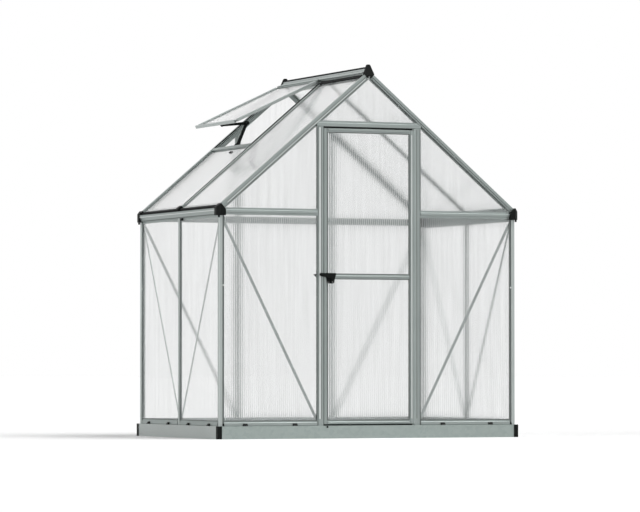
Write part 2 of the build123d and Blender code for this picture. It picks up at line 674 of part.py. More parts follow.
def gable_rafter_section():
    """Rafter of an end wall: a box with a slot for the roof panel and one below for the gable panel."""
    gable_slot = swapped(slot_edge(RAFTER_CORE, RAFTER_DROP))
    flange = (RAFTER_DROP, RAFTER_FLANGE_DROP, SLOT_BACK, FLANGE_BACK)
    roof_slot = slot_edge(PROFILE_DEPTH, POST_LEG)
    face = section(tube(0, RAFTER_CORE, 0, PROFILE_DEPTH), gable_slot, [flange], roof_slot)
    return bevelled(eased(face), [(RAFTER_CORE, 0)])


def gable_rafter():
    """Front left rafter, from the end cap of the ridge down; its roof slot starts below the ridge's arm."""
    face = Pos(0, -WALL_Y) * gable_rafter_section()
    rafter = down_slope(face, RIDGE_CAP_REACH + JOINT_GAP, RAFTER_FOOT)
    beside_arm = slope_face(0, RIDGE_ARM + JOINT_GAP, -RAFTER_FLANGE_DROP, JOINT_GAP)
    return rafter - along_y(beside_arm, -WALL_Y + PROFILE_DEPTH, 0)


def mid_rafter():
    return down_slope(tee_section(), RIDGE_ARM + JOINT_GAP, RAFTER_FOOT)


def vent_axis():
    return on_slope(VENT_AXIS_DOWN, VENT_AXIS_RISE)


def ridge_section():
    """Ridge beam: a hollow top, an arm with a panel slot down each slope and a hinge socket on each side."""
    top = RIDGE_HEIGHT + RIDGE_TOP_RISE
    half_top = RIDGE_TOP_WIDTH / 2
    axis = vent_axis()
    shoulder = (axis[0] + SOCKET_RADIUS + SOCKET_WALL / 2, axis[1])
    arm_root = (0, RIDGE_HEIGHT - RIDGE_ARM_TOP / COS)
    flank_foot = on_slope(VENT_AXIS_DOWN + SOCKET_RADIUS + SOCKET_WALL, -RIDGE_ARM_TOP)
    flank = [(-half_top, top), shoulder, flank_foot]
    face = outline(flank + [arm_root] + mirrored(flank))
    wall = SKIN / COS
    inner = shoulder[0] + 2 * SKIN
    hollow_foot = (inner, height_at(inner, -RIDGE_ARM_TOP) + wall)
    hollow = [(-half_top + SKIN, top - SKIN), (inner, axis[1]), hollow_foot]
    face -= outline(hollow + [(0, arm_root[1] + wall)] + mirrored(hollow))
    arm = [on_slope(RIDGE_ARM, -RIDGE_ARM_TOP), on_slope(RIDGE_ARM, -PROFILE_DEPTH)]
    crotch = (0, RIDGE_HEIGHT - PROFILE_DEPTH / COS)
    face += outline(arm + [crotch] + mirrored(arm) + [arm_root])
    slot_start = RIDGE_ARM - SLOT_DEPTH
    slot = [on_slope(s, n) for s, n in ((slot_start, -FACE_DEPTH), (RIDGE_ARM, -FACE_DEPTH))]
    slot += [on_slope(s, n) for s, n in ((RIDGE_ARM, -SLOT_BACK), (slot_start, -SLOT_BACK))]
    face = face - outline(slot) - outline(mirrored(slot))
    slope = degrees(PITCH)
    left_socket = Pos(*axis) * hinge_socket(180 + slope - VENT_OPEN, 180 + slope)
    right_socket = Pos(-axis[0], axis[1]) * hinge_socket(-slope, VENT_OPEN - slope)
    flank_turn = degrees(atan2(top - axis[1], -half_top - shoulder[0]))
    middle = (shoulder[0] - half_top) / 2
    height = (top + axis[1]) / 2
    for side in (-1, 1):
        turn = Rot(0, 0, -side * flank_turn)
        face -= Pos(-side * middle, height) * turn * Rectangle(RIDGE_GROOVE, RIDGE_GROOVE)
    return face + left_socket + right_socket


def ridge_beam():
    return along_y(ridge_section(), -RIDGE_END, RIDGE_END)


def ridge_cap_face(edge):
    """Outline of an end cap from its left edge, with round corners at the top."""
    notch = (0, RIDGE_HEIGHT - PROFILE_DEPTH / COS)
    face = outline(edge + [notch] + mirrored(edge))
    x, top = edge[0]
    return fillet([corner_at(face, (x, top)), corner_at(face, (-x, top))], RIDGE_CAP_ROUND)


def ridge_end_cap():
    """Moulded cap on the front end of the ridge, between the gable rafters; its front leans back."""
    foot = RIDGE_HEIGHT - PROFILE_DEPTH / COS
    top = RIDGE_HEIGHT + RIDGE_TOP_RISE + RIDGE_CAP_RISE
    edge = [(-RIDGE_CAP_HALF_TOP, top), on_slope(RIDGE_CAP_REACH, RIDGE_CAP_SHOULDER)]
    lobe = on_slope(RIDGE_CAP_REACH, -RIDGE_CAP_LOBE)
    inner_lobe = on_slope(RIDGE_CAP_REACH, -PROFILE_DEPTH)
    front = -WALL_Y - RIDGE_CAP_PROUD
    cap = along_y(ridge_cap_face(edge + [lobe]), front, -WALL_Y)
    cap += along_y(ridge_cap_face(edge + [inner_lobe]), -WALL_Y, -RIDGE_END)
    ahead = [(front - 1, foot), (front, foot), (front + RIDGE_CAP_LEAN, top), (front - 1, top)]
    return cap - sheet_facing_left(ahead, 2 * RIDGE_ARM, -RIDGE_ARM)


def eave_cap_inner_x():
    return on_slope(RAFTER_FOOT + JOINT_GAP, -EAVE_CAP_DEPTH)[0]


def eave_corner_cap():
    """Moulded corner that joins the front left post, rafter, gutter and tie, with a rain spout."""
    side = -WALL_X - EAVE_CAP_PROUD_SIDE
    end = -WALL_Y - EAVE_CAP_PROUD_END
    peak = on_slope(RAFTER_FOOT + JOINT_GAP, EAVE_CAP_RISE)
    chin = on_slope(RAFTER_FOOT + JOINT_GAP, -EAVE_CAP_DEPTH)
    low_side = (side, height_at(side, EAVE_CAP_RISE))
    face = outline([peak, chin, (chin[0], POST_TOP), (side, POST_TOP), low_side])
    block = along_y(face, end, CAP_INNER_Y)
    plan = outline(
        [
            (side + EAVE_CAP_CHAMFER, end),
            (chin[0] + 1, end),
            (chin[0] + 1, CAP_INNER_Y),
            (side, CAP_INNER_Y),
            (side, end + EAVE_CAP_CHAMFER),
        ]
    )
    block &= extrude(plan, amount=RIDGE_HEIGHT)
    spout_x = -WALL_X - SPOUT_OFFSET
    spout_y = -WALL_Y - SPOUT_OFFSET
    spout_low = POST_TOP - SPOUT_LENGTH
    block += round_rod(spout_x, spout_y, spout_low, SPOUT_DIAMETER / 2, (0, 0, 1), SPOUT_LENGTH)
    return block - round_rod(spout_x, spout_y, spout_low, SPOUT_BORE / 2, (0, 0, 1), 2 * SPOUT_LENGTH)


def eave_seals():
    """Strips over the lower edges of the roof panels."""
    panel_end = RAFTER_FOOT + ROOF_OVERHANG
    seal_end = panel_end + PANEL_CLEARANCE + SKIN
    strip = slope_face(seal_end - SEAL_LENGTH, seal_end, -SLOT_BACK - SEAL_WALL, -FACE_DEPTH + SEAL_WALL)
    strip -= slope_face(seal_end - SEAL_LENGTH, panel_end + PANEL_CLEARANCE, -SLOT_BACK, -FACE_DEPTH)
    end = FOOT_CAP_WIDTH / 2 + JOINT_GAP
    return group(four_corners(along_y(strip, CAP_INNER_Y + JOINT_GAP, -end)))


def ridge_strips():
    """Strips on the arms of the ridge, in the bays where no vent is hung, and one along its top."""
    start = VENT_AXIS_DOWN + SOCKET_RADIUS + SOCKET_WALL + PANEL_CLEARANCE
    top = -RIDGE_ARM_TOP + RIDGE_SEAL_HEIGHT
    face = slope_face(start, start + RIDGE_SEAL_LENGTH, -RIDGE_ARM_TOP, top)
    left = along_y(face, BAY_FRONT + JOINT_GAP, -MID_HALF - JOINT_GAP)
    right = to_right(left)
    crown_low = RIDGE_HEIGHT + RIDGE_TOP_RISE
    half = RIDGE_CROWN_WIDTH / 2
    crown = along_y(box_face(-half, half, crown_low, crown_low + RIDGE_CROWN_HEIGHT), -RIDGE_END, RIDGE_END)
    return [left, right, to_back(right), crown]


def rafter_foot_cap():
    """Cap on the foot of the left middle rafter."""
    start = RAFTER_FOOT + JOINT_GAP
    face = slope_face(start, start + FOOT_CAP_LENGTH, -PROFILE_DEPTH + SKIN, EAVE_CAP_RISE)
    corner = face.vertices().sort_by(Axis.X)[0]
    return along_y(fillet(corner, EAVE_CAP_RISE), -FOOT_CAP_WIDTH / 2, FOOT_CAP_WIDTH / 2)


def vent_sill():
    """Rail across the vent opening that holds the top of the short roof panel."""
    core_end = SILL_LOW - SLOT_DEPTH
    frame = slope_face(SILL_HIGH, SILL_LOW, -PROFILE_DEPTH, 0)
    frame -= slope_face(core_end, SILL_LOW, -SLOT_BACK, -FACE_DEPTH)
    frame -= slope_face(SILL_HIGH + SKIN, core_end - SKIN, -PROFILE_DEPTH + SKIN, -SKIN)
    return along_y(frame, MID_HALF + JOINT_GAP, WALL_Y - POST_LEG - JOINT_GAP)


# Panels


def end_panel(points):
    """Panel of the front wall with an outline in (x, z)."""
    return along_y(outline(points), -WALL_Y + PANEL_FRONT, -WALL_Y + PANEL_BACK)


LOWER_PANEL_BOTTOM = BASE_HEIGHT + BOTTOM_RAIL_HEIGHT - SLOT_DEPTH + PANEL_SEAT
LOWER_PANEL_TOP = TIE_LOW + PANEL_REACH
UPPER_PANEL_BOTTOM = TIE_TOP - SLOT_DEPTH + PANEL_SEAT
PANEL_OUTER_X = -WALL_X + POST_LEG - PANEL_REACH
GABLE_LINE = -RAFTER_DROP + PANEL_REACH  # top edges of the gable panels below the rafters' top


def lower_end_panel(inner):
    """Lower panel left of the middle, notched at its upper outer corner under the eave cap."""
    notch_x = eave_cap_inner_x() + PANEL_CLEARANCE
    notch_z = POST_TOP - PANEL_CLEARANCE
    return end_panel(
        [
            (PANEL_OUTER_X, LOWER_PANEL_BOTTOM),
            (inner, LOWER_PANEL_BOTTOM),
            (inner, LOWER_PANEL_TOP),
            (notch_x, LOWER_PANEL_TOP),
            (notch_x, notch_z),
            (PANEL_OUTER_X, notch_z),
        ]
    )


def upper_end_panel(inner):
    """Upper panel left of the middle, with its top edge along the rafter."""
    outer = eave_cap_inner_x() + PANEL_GROWTH
    return end_panel(
        [
            (outer, UPPER_PANEL_BOTTOM),
            (inner, UPPER_PANEL_BOTTOM),
            (inner, height_at(inner, GABLE_LINE)),
            (outer, height_at(outer, GABLE_LINE)),
        ]
    )


def middle_gable_panel(half, bottom):
    """Upper panel across the middle, stepped down under the arms of the ridge beam."""
    step = RIDGE_ARM + PANEL_GROWTH
    under_ridge = -PROFILE_DEPTH - PANEL_CLEARANCE
    edge = [(-half, bottom), (-half, height_at(-half, GABLE_LINE))]
    edge += [on_slope(step, GABLE_LINE), on_slope(step, under_ridge)]
    return end_panel(edge + [(0, height_at(0, under_ridge))] + mirrored(edge))


def front_panels():
    inner = -JAMB_OUTER + PANEL_REACH
    bottom = HEADER_TOP - SLOT_DEPTH + PANEL_SEAT
    half = (RIDGE_HEIGHT + GABLE_LINE / COS - bottom) * COS / SIN
    low_cut = half - PANEL_GROWTH
    top = middle_gable_panel(low_cut, bottom)
    return group(both_sides(lower_end_panel(inner)) + both_sides(upper_end_panel(inner)) + [top])


def back_panels():
    inner = -BACK_POST - MID_HALF + PANEL_REACH
    half = BACK_POST - MID_HALF + PANEL_REACH
    middle = end_panel(
        [
            (-half, LOWER_PANEL_BOTTOM),
            (half, LOWER_PANEL_BOTTOM),
            (half, LOWER_PANEL_TOP),
            (-half, LOWER_PANEL_TOP),
        ]
    )
    sides = both_sides(lower_end_panel(inner)) + both_sides(upper_end_panel(inner))
    panels = sides + [middle, middle_gable_panel(half, UPPER_PANEL_BOTTOM)]
    return group([to_back(panel) for panel in panels])


def side_panels_left():
    y0 = BAY_FRONT - PANEL_REACH
    y1 = -MID_HALF + PANEL_REACH
    top = POST_TOP - PANEL_CLEARANCE
    points = [(y0, LOWER_PANEL_BOTTOM), (y1, LOWER_PANEL_BOTTOM), (y1, top), (y0, top)]
    front = sheet_facing_left(points, PANEL_THICKNESS, -WALL_X + PANEL_FRONT)
    return group([front, to_back(front)])


def roof_panel(top):
    """Front panel of the left slope, from a distance down the slope to past the gutter's inner wall."""
    shoulder = RAFTER_FOOT - PANEL_GROWTH
    tongue = RAFTER_FOOT + ROOF_OVERHANG
    main = slope_face(top, shoulder, -PANEL_BACK, -PANEL_FRONT)
    edge = slope_face(shoulder, tongue, -PANEL_BACK, -PANEL_FRONT)
    end = FOOT_CAP_WIDTH / 2 + JOINT_GAP
    wide = along_y(main, BAY_FRONT - PANEL_REACH, -MID_HALF + PANEL_REACH)
    return wide + along_y(edge, CAP_INNER_Y + JOINT_GAP, -end)


def roof_panels_left():
    full = roof_panel(RIDGE_ARM - PANEL_REACH)
    short = roof_panel(SILL_LOW - PANEL_REACH)
    return group([full, to_back(short)])


def roof_panels_right():
    front = to_right(roof_panel(RIDGE_ARM - PANEL_REACH))
    return group([front, to_back(front)])


# Door

MID_RAIL_LOW = MID_RAIL_CENTRE - MID_RAIL_HEIGHT / 2
MID_RAIL_HIGH = MID_RAIL_CENTRE + MID_RAIL_HEIGHT / 2
TOP_RAIL_LOW = DOOR_TOP - DOOR_TOP_RAIL_HEIGHT
BOTTOM_RAIL_HIGH = DOOR_BOTTOM + DOOR_BOTTOM_RAIL_HEIGHT
PANE_LEFT = DOOR_LEFT + LATCH_STILE_WIDTH
PANE_RIGHT = DOOR_RIGHT - HINGE_STILE_WIDTH


def door_stile_latch_side():
    core = LATCH_STILE_WIDTH - SLOT_DEPTH
    face = eased(section(tube(0, PROFILE_DEPTH, 0, core), slot_edge(core, LATCH_STILE_WIDTH)))
    head = Plane((DOOR_LEFT, DOOR_FACE, DOOR_TOP), x_dir=(0, 1, 0), z_dir=(0, 0, -1))
    return extrude(head * face, amount=DOOR_TOP - DOOR_BOTTOM)


def door_stile_hinge_side():
    """Stile with the bead of the hinge along its outer edge."""
    core = HINGE_STILE_WIDTH - SLOT_DEPTH
    axis_depth = DOOR_AXIS[1] - DOOR_FACE
    face = eased(section(tube(0, PROFILE_DEPTH, 0, core), slot_edge(core, HINGE_STILE_WIDTH)))
    neck_front = axis_depth - NECK_THICKNESS / 2
    face += box_face(neck_front, neck_front + NECK_THICKNESS, -STILE_CLEARANCE, SKIN)
    face += Pos(axis_depth, -STILE_CLEARANCE) * Circle(BEAD_RADIUS)
    foot = Plane((DOOR_RIGHT, DOOR_FACE, DOOR_BOTTOM), x_dir=(0, 1, 0), z_dir=(0, 0, 1))
    return extrude(foot * face, amount=DOOR_TOP - DOOR_BOTTOM)


def door_rail(face):
    return along_x(eased(face), PANE_LEFT, PANE_RIGHT, DOOR_FACE)


def door_top_rail():
    core = TOP_RAIL_LOW + SLOT_DEPTH
    return door_rail(section(tube(0, PROFILE_DEPTH, core, DOOR_TOP), slot_edge(core, TOP_RAIL_LOW)))


def door_bottom_rail():
    core = BOTTOM_RAIL_HIGH - SLOT_DEPTH
    return door_rail(section(tube(0, PROFILE_DEPTH, DOOR_BOTTOM, core), slot_edge(core, BOTTOM_RAIL_HIGH)))


def door_mid_rail():
    """Middle rail with a solid core, bored for the latch spindle."""
    low = MID_RAIL_LOW + SLOT_DEPTH
    high = MID_RAIL_HIGH - SLOT_DEPTH
    core = [(0, PROFILE_DEPTH, low, high)]
    rail = door_rail(section(core, slot_edge(high, MID_RAIL_HIGH), slot_edge(low, MID_RAIL_LOW)))
    return rail - spindle_rod(SPINDLE_RADIUS + SPINDLE_CLEARANCE, DOOR_FACE, DOOR_BACK)


def door_panes():
    x0 = PANE_LEFT - PANEL_REACH
    x1 = PANE_RIGHT + PANEL_REACH
    heights = (
        (BOTTOM_RAIL_HIGH - SLOT_DEPTH + PANEL_SEAT, MID_RAIL_LOW + PANEL_REACH),
        (MID_RAIL_HIGH - SLOT_DEPTH + PANEL_SEAT, TOP_RAIL_LOW + PANEL_REACH),
    )
    faces = [box_face(x0, x1, z0, z1) for z0, z1 in heights]
    return group([along_y(face, DOOR_FACE + PANEL_FRONT, DOOR_FACE + PANEL_BACK) for face in faces])


def door_strips():
    """Strips under the header and on the base, in the gaps over and under the door."""
    head = box_face(DOOR_LEFT, DOOR_RIGHT, DOOR_TOP + DOOR_SEAL_CLEARANCE, DOOR_HEAD_HEIGHT)
    foot = box_face(DOOR_LEFT, DOOR_RIGHT, BASE_HEIGHT, DOOR_BOTTOM - DOOR_SEAL_CLEARANCE)
    front = DOOR_FACE + DOOR_SEAL_INSET
    return [along_y(face, front, front + DOOR_SEAL_THICKNESS) for face in (head, foot)]


# Door latch

SPINDLE = (LATCH_PLACE, MID_RAIL_CENTRE)
RIGHT_EYE = (LATCH_PLACE, MID_RAIL_CENTRE - EYE_DROP)
LEFT_EYE = (LATCH_PLACE - EYE_SPACING, MID_RAIL_CENTRE - EYE_DROP)
PLATE_FRONT = DOOR_FACE - LATCH_PLATE_THICKNESS
CAM_SEAT = DOOR_BACK + PLATE_CLEARANCE
CAM_FRONT = DOOR_BACK + CAM_STANDOFF
CAM_BACK = CAM_FRONT + CAM_THICKNESS


def spindle_rod(radius, y0, y1):
    return along_y(Pos(*SPINDLE) * Circle(radius), y0, y1)


def spindle_square(clearance):
    """Square end of the spindle behind the door."""
    side = SPINDLE_SQUARE + 2 * clearance
    return along_y(Pos(*SPINDLE) * Rectangle(side, side), CAM_SEAT, CAM_BACK)


def latch_plate():
    """Fixed plate on the door with two padlock eyes."""
    middle = LATCH_PLACE - EYE_SPACING / 2
    shoulder = MID_RAIL_CENTRE + LATCH_PLATE_RISE
    corners = [(middle - LATCH_PLATE_HALF_WIDTH, shoulder), (middle + LATCH_PLATE_HALF_WIDTH, shoulder)]
    rounds = [(Pos(*place) * Circle(LATCH_PLATE_ROUND)).edges() for place in corners]
    lugs = [(Pos(*place) * Circle(EYE_LUG_RADIUS)).edges() for place in (LEFT_EYE, RIGHT_EYE)]
    face = make_hull(rounds[0] + rounds[1] + lugs[0] + lugs[1])
    for eye in (LEFT_EYE, RIGHT_EYE):
        face -= Pos(*eye) * Circle(EYE_RADIUS)
    face -= Pos(*SPINDLE) * Circle(SPINDLE_RADIUS + SPINDLE_CLEARANCE)
    return along_y(face, PLATE_FRONT, DOOR_FACE)


def latch_lever():
    """Lever with its hub, padlock lug and the spindle through the door."""
    front = PLATE_FRONT - PLATE_CLEARANCE
    tip = (SPINDLE[0] - LEVER_REACH, SPINDLE[1] + LEVER_RISE)
    blade_back = front - LEVER_STANDOFF
    blade_face = arm_face(SPINDLE, HUB_RADIUS, tip, LEVER_TIP_RADIUS)
    blade = along_y(blade_face, blade_back - LEVER_THICKNESS, blade_back)
    lug_face = arm_face(SPINDLE, EYE_LUG_RADIUS, RIGHT_EYE, EYE_LUG_RADIUS)
    lug = along_y(lug_face - Pos(*RIGHT_EYE) * Circle(EYE_RADIUS), front - LUG_THICKNESS, front)
    hub = spindle_rod(HUB_RADIUS, front - HUB_HEIGHT, front)
    return blade + lug + hub + spindle_rod(SPINDLE_RADIUS, front, CAM_SEAT) + spindle_square(0)


def latch_cam():
    """Cam on the inner end of the spindle; it turns behind the keeper when the lever is turned up."""
    tip = (SPINDLE[0], SPINDLE[1] - CAM_REACH)
    blade = along_y(arm_face(SPINDLE, CAM_HUB_RADIUS, tip, CAM_TIP_RADIUS), CAM_FRONT, CAM_BACK)
    collar = along_y(Pos(*SPINDLE) * Rectangle(CAM_COLLAR, CAM_COLLAR), CAM_SEAT, CAM_FRONT)
    return blade + collar - spindle_square(SPINDLE_CLEARANCE)


def latch_keeper():
    """Beaked plate on the back of the jamb, with a tongue that the cam turns behind."""
    inner = -DOOR_OPENING / 2 - SKIN - PANEL_CLEARANCE
    outer = -JAMB_OUTER
    low = MID_RAIL_CENTRE - KEEPER_HEIGHT / 2
    high = MID_RAIL_CENTRE + KEEPER_HEIGHT / 2
    face = outline(
        [
            (inner, low),
            (inner, high),
            (outer, high),
            (outer - KEEPER_BEAK, high - CAM_TIP_RADIUS / 2),
            (outer, MID_RAIL_CENTRE),
            (outer + SLOT_DEPTH, low),
        ]
    )
    front = -WALL_Y + PROFILE_DEPTH
    back = front + KEEPER_THICKNESS
    tongue_end = LATCH_PLACE - CAM_HUB_RADIUS - KEEPER_CAM_GAP
    tongue_front = DOOR_BACK + DOOR_STOP_GAP + SKIN + PANEL_CLEARANCE
    tongue = along_y(box_face(inner, tongue_end, low, high), tongue_front, back)
    return along_y(face, front, back) + tongue


# Roof vent

VENT_HIGH = VENT_AXIS_DOWN + VENT_RAIL_OFFSET
VENT_LOW = VENT_AXIS_DOWN + VENT_LENGTH
VENT_FRONT = MID_HALF - VENT_LAP
VENT_BACK = WALL_Y - POST_LEG + VENT_LAP


def opened(shape):
    """The closed vent's piece turned up about the hinge."""
    x, z = vent_axis()
    return shape.rotate(Axis((x, 0, z), (0, 1, 0)), VENT_OPEN)


def vent_rail_face(sides):
    """Section of rectangles (depth, distance down the slope) laid on the closed vent."""
    faces = [slope_face(v0, v1, VENT_TOP - u1, VENT_TOP - u0) for u0, u1, v0, v1 in sides]
    return faces[0] + faces[1:]


def vent_hinge_rail():
    edge = VENT_HIGH + VENT_RAIL_WIDTH
    core = edge - SLOT_DEPTH
    face = vent_rail_face(tube(0, VENT_DEPTH, VENT_HIGH, core) + slot_edge(core, edge))
    neck_low = VENT_AXIS_RISE - NECK_THICKNESS / 2
    face += slope_face(VENT_AXIS_DOWN, VENT_HIGH + SKIN, neck_low, neck_low + NECK_THICKNESS)
    face += Pos(*vent_axis()) * Circle(BEAD_RADIUS)
    return opened(along_y(face, VENT_FRONT, VENT_BACK))


def vent_frame_rails():
    """Two side rails and the bottom rail of the vent."""
    core = VENT_LOW - VENT_RAIL_WIDTH + SLOT_DEPTH
    bottom_face = vent_rail_face(
        tube(0, VENT_DEPTH, core, VENT_LOW) + slot_edge(core, VENT_LOW - VENT_RAIL_WIDTH)
    )
    bottom = along_y(bottom_face, VENT_FRONT, VENT_BACK)
    side_core = VENT_RAIL_WIDTH - SLOT_DEPTH
    side_face = eased(section(tube(0, VENT_DEPTH, 0, side_core), slot_edge(side_core, VENT_RAIL_WIDTH)))
    start = VENT_HIGH + VENT_RAIL_WIDTH + JOINT_GAP
    end = VENT_LOW - VENT_RAIL_WIDTH - JOINT_GAP
    front = down_slope(Pos(-VENT_TOP, VENT_FRONT) * side_face, start, end)
    middle = (VENT_FRONT + VENT_BACK) / 2
    back = mirror(front, about=Plane((0, middle, 0), z_dir=(0, 1, 0)))
    return group([opened(rail) for rail in (front, back, bottom)])


def vent_pane():
    inset = VENT_RAIL_WIDTH - PANEL_REACH
    face = slope_face(VENT_HIGH + inset, VENT_LOW - inset, VENT_TOP - PANEL_BACK, VENT_TOP - PANEL_FRONT)
    return opened(along_y(face, VENT_FRONT + inset, VENT_BACK - inset))


# Folding stay. From front to back its layers are the vent's bracket, the upper arm, the lower arm
# and the sill's bracket.
BRACKET_Y0 = STAY_Y - BRACKET_THICKNESS / 2
UPPER_Y0 = BRACKET_Y0 + BRACKET_THICKNESS + STAY_SIDE_GAP
LOWER_Y0 = UPPER_Y0 + STAY_ARM_THICKNESS + STAY_SIDE_GAP
SILL_BRACKET_Y0 = LOWER_Y0 + STAY_ARM_THICKNESS + STAY_SIDE_GAP
SILL_PIVOT = on_slope(SILL_HIGH - SILL_PIVOT_REACH, -SILL_PIVOT_DROP)
CLOSED_PIVOT = on_slope(SILL_HIGH - VENT_PIVOT_REACH, -VENT_PIVOT_DROP)
FOLDED_SPAN = hypot(SILL_PIVOT_REACH - VENT_PIVOT_REACH, SILL_PIVOT_DROP - VENT_PIVOT_DROP)
STAY_UPPER = STAY_LOWER + FOLDED_SPAN - STAY_FOLD_ROOM  # so the arms fold together when the vent closes


def open_pivot():
    """Place of the vent's pivot (x, z) with the vent open."""
    axis = vent_axis()
    dx = CLOSED_PIVOT[0] - axis[0]
    dz = CLOSED_PIVOT[1] - axis[1]
    turn = radians(VENT_OPEN)
    return (axis[0] + dx * cos(turn) + dz * sin(turn), axis[1] + dz * cos(turn) - dx * sin(turn))


def knee():
    """Where the two arms meet, on the ridge side of the pivots."""
    pivot = open_pivot()
    dx = pivot[0] - SILL_PIVOT[0]
    dz = pivot[1] - SILL_PIVOT[1]
    span = hypot(dx, dz)
    along = (STAY_LOWER**2 - STAY_UPPER**2 + span**2) / (2 * span)
    off = sqrt(STAY_LOWER**2 - along**2)
    return (
        SILL_PIVOT[0] + (dx * along + dz * off) / span,
        SILL_PIVOT[1] + (dz * along - dx * off) / span,
    )


def stay_pin(place, y0, y1, clearance=0.0):
    return along_y(Pos(*place) * Circle(STAY_PIN_RADIUS + clearance), y0, y1)


def stay_lower_arm():
    """Arm on the sill's bracket, with the knee pin."""
    end = LOWER_Y0 + STAY_ARM_THICKNESS
    blade = along_y(arm_face(SILL_PIVOT, STAY_LOWER_RADIUS, knee(), STAY_LOWER_RADIUS), LOWER_Y0, end)
    blade -= stay_pin(SILL_PIVOT, LOWER_Y0, end, STAY_PIN_CLEARANCE)
    return blade + stay_pin(knee(), UPPER_Y0, LOWER_Y0)


def stay_upper_arm():
    """Arm from the knee to the vent, with the pin that runs in the vent's bracket."""
    end = UPPER_Y0 + STAY_ARM_THICKNESS
    blade = along_y(arm_face(knee(), STAY_LOWER_RADIUS, open_pivot(), STAY_TIP_RADIUS), UPPER_Y0, end)
    blade -= stay_pin(knee(), UPPER_Y0, end, STAY_PIN_CLEARANCE)
    return blade + stay_pin(open_pivot(), BRACKET_Y0 - SKIN, UPPER_Y0)


def vent_stay_bracket():
    """Bracket under the vent's bottom rail, with a wide hole for the stay's pin."""
    top = VENT_TOP - FLANGE_BACK
    low_edge = VENT_LOW - VENT_RAIL_WIDTH + SLOT_DEPTH - JOINT_GAP
    inner = SILL_HIGH - VENT_PIVOT_REACH
    hole = STAY_PIN_RADIUS + STAY_SLOT_CLEARANCE
    eye = hole + SKIN
    plate = slope_face(inner - eye, inner + eye, -VENT_PIVOT_DROP, top) + Pos(*CLOSED_PIVOT) * Circle(eye)
    plate -= Pos(*CLOSED_PIVOT) * Circle(hole)
    foot = slope_face(inner - eye, low_edge, top - BRACKET_FOOT, top)
    foot_y0 = BRACKET_Y0 + BRACKET_THICKNESS - BRACKET_FOOT_WIDTH
    bracket = along_y(plate, BRACKET_Y0, BRACKET_Y0 + BRACKET_THICKNESS)
    return opened(bracket + along_y(foot, foot_y0, BRACKET_Y0 + BRACKET_THICKNESS))


def sill_stay_bracket():
    """Bracket on the upper face of the sill, with the pin of the lower arm."""
    back = SILL_BRACKET_Y0 + BRACKET_THICKNESS
    middle = -PROFILE_DEPTH / 2
    reach = PROFILE_DEPTH / 2 - SKIN
    root = slope_face(SILL_HIGH - 2 * BRACKET_FOOT, SILL_HIGH, middle - reach, middle + reach)
    eye = STAY_LOWER_RADIUS
    web = slope_face(SILL_HIGH - SILL_PIVOT_REACH, SILL_HIGH, -SILL_PIVOT_DROP, -SILL_PIVOT_DROP + eye)
    plate = web + Pos(*SILL_PIVOT) * Circle(eye)
    bracket = along_y(plate, SILL_BRACKET_Y0, back)
    bracket += along_y(root, SILL_BRACKET_Y0, SILL_BRACKET_Y0 + BRACKET_FOOT_WIDTH)
    return bracket + stay_pin(SILL_PIVOT, LOWER_Y0, SILL_BRACKET_Y0)


def all_nodes():
    """Every node by name."""
    front_base = base_rail_front()
    left_base = base_rail_left()
    post = corner_post()
    side_post = side_post_left()
    back_left_post = to_back(back_post())
    gutter = gutter_left()
    rafter = gable_rafter()
    middle_rafter = mid_rafter()
    left_side_panels = side_panels_left()
    braces, bolts = wall_braces()
    ridge_cap = ridge_end_cap()
    return {
        "base_rail_front": front_base,
        "base_rail_back": to_back(front_base),
        "base_rail_left": left_base,
        "base_rail_right": to_right(left_base),
        "base_corner_caps": group(four_corners(base_corner_cap())),
        "corner_post_front_left": post,
        "corner_post_front_right": to_right(post),
        "corner_post_back_left": to_back(post),
        "corner_post_back_right": to_back(to_right(post)),
        "side_post_left": side_post,
        "side_post_right": to_right(side_post),
        "back_post_left": back_left_post,
        "back_post_right": to_right(back_left_post),
        "door_jamb_latch_side": jamb(),
        "door_jamb_hinge_side": hinge_jamb(),
        "door_header": door_header(),
        "bottom_rails_ends": bottom_rails_ends(),
        "bottom_rails_sides": bottom_rails_sides(),
        "end_wall_tie_bars": end_wall_tie_bars(),
        "gutter_left": gutter,
        "gutter_right": to_right(gutter),
        "wall_braces": braces,
        "brace_bolts": bolts,
        "panel_clips": panel_clips(),
        "rafter_front_left": rafter,
        "rafter_front_right": to_right(rafter),
        "rafter_back_left": to_back(rafter),
        "rafter_back_right": to_back(to_right(rafter)),
        "rafter_mid_left": middle_rafter,
        "rafter_mid_right": to_right(middle_rafter),
        "ridge_beam": ridge_beam(),
        "ridge_end_caps": group([ridge_cap, to_back(ridge_cap)]),
        "eave_corner_caps": group(four_corners(eave_corner_cap())),
        "eave_seals": eave_seals(),
        "weather_strips": group(ridge_strips() + door_strips()),
        "rafter_foot_caps": group(both_sides(rafter_foot_cap())),
        "vent_sill": vent_sill(),
        "front_panels": front_panels(),
        "back_panels": back_panels(),
        "side_panels_left": left_side_panels,
        "side_panels_right": to_right(left_side_panels),
        "roof_panels_left": roof_panels_left(),
        "roof_panels_right": roof_panels_right(),
        "door_stile_latch_side": door_stile_latch_side(),
        "door_stile_hinge_side": door_stile_hinge_side(),
        "door_top_rail": door_top_rail(),
        "door_mid_rail": door_mid_rail(),
        "door_bottom_rail": door_bottom_rail(),
        "door_panes": door_panes(),
        "latch_plate": latch_plate(),
        "latch_lever": latch_lever(),
        "latch_cam": latch_cam(),
        "latch_keeper": latch_keeper(),
        "vent_hinge_rail": vent_hinge_rail(),
        "vent_frame_rails": vent_frame_rails(),
        "vent_pane": vent_pane(),
        "vent_stay_bracket": vent_stay_bracket(),
        "sill_stay_bracket": sill_stay_bracket(),
        "stay_lower_arm": stay_lower_arm(),
        "stay_upper_arm": stay_upper_arm(),
    }


os.makedirs("parts", exist_ok=True)
for node, shape in all_nodes().items():
    export_step(shape, f"parts/{node}.step")
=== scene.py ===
import math

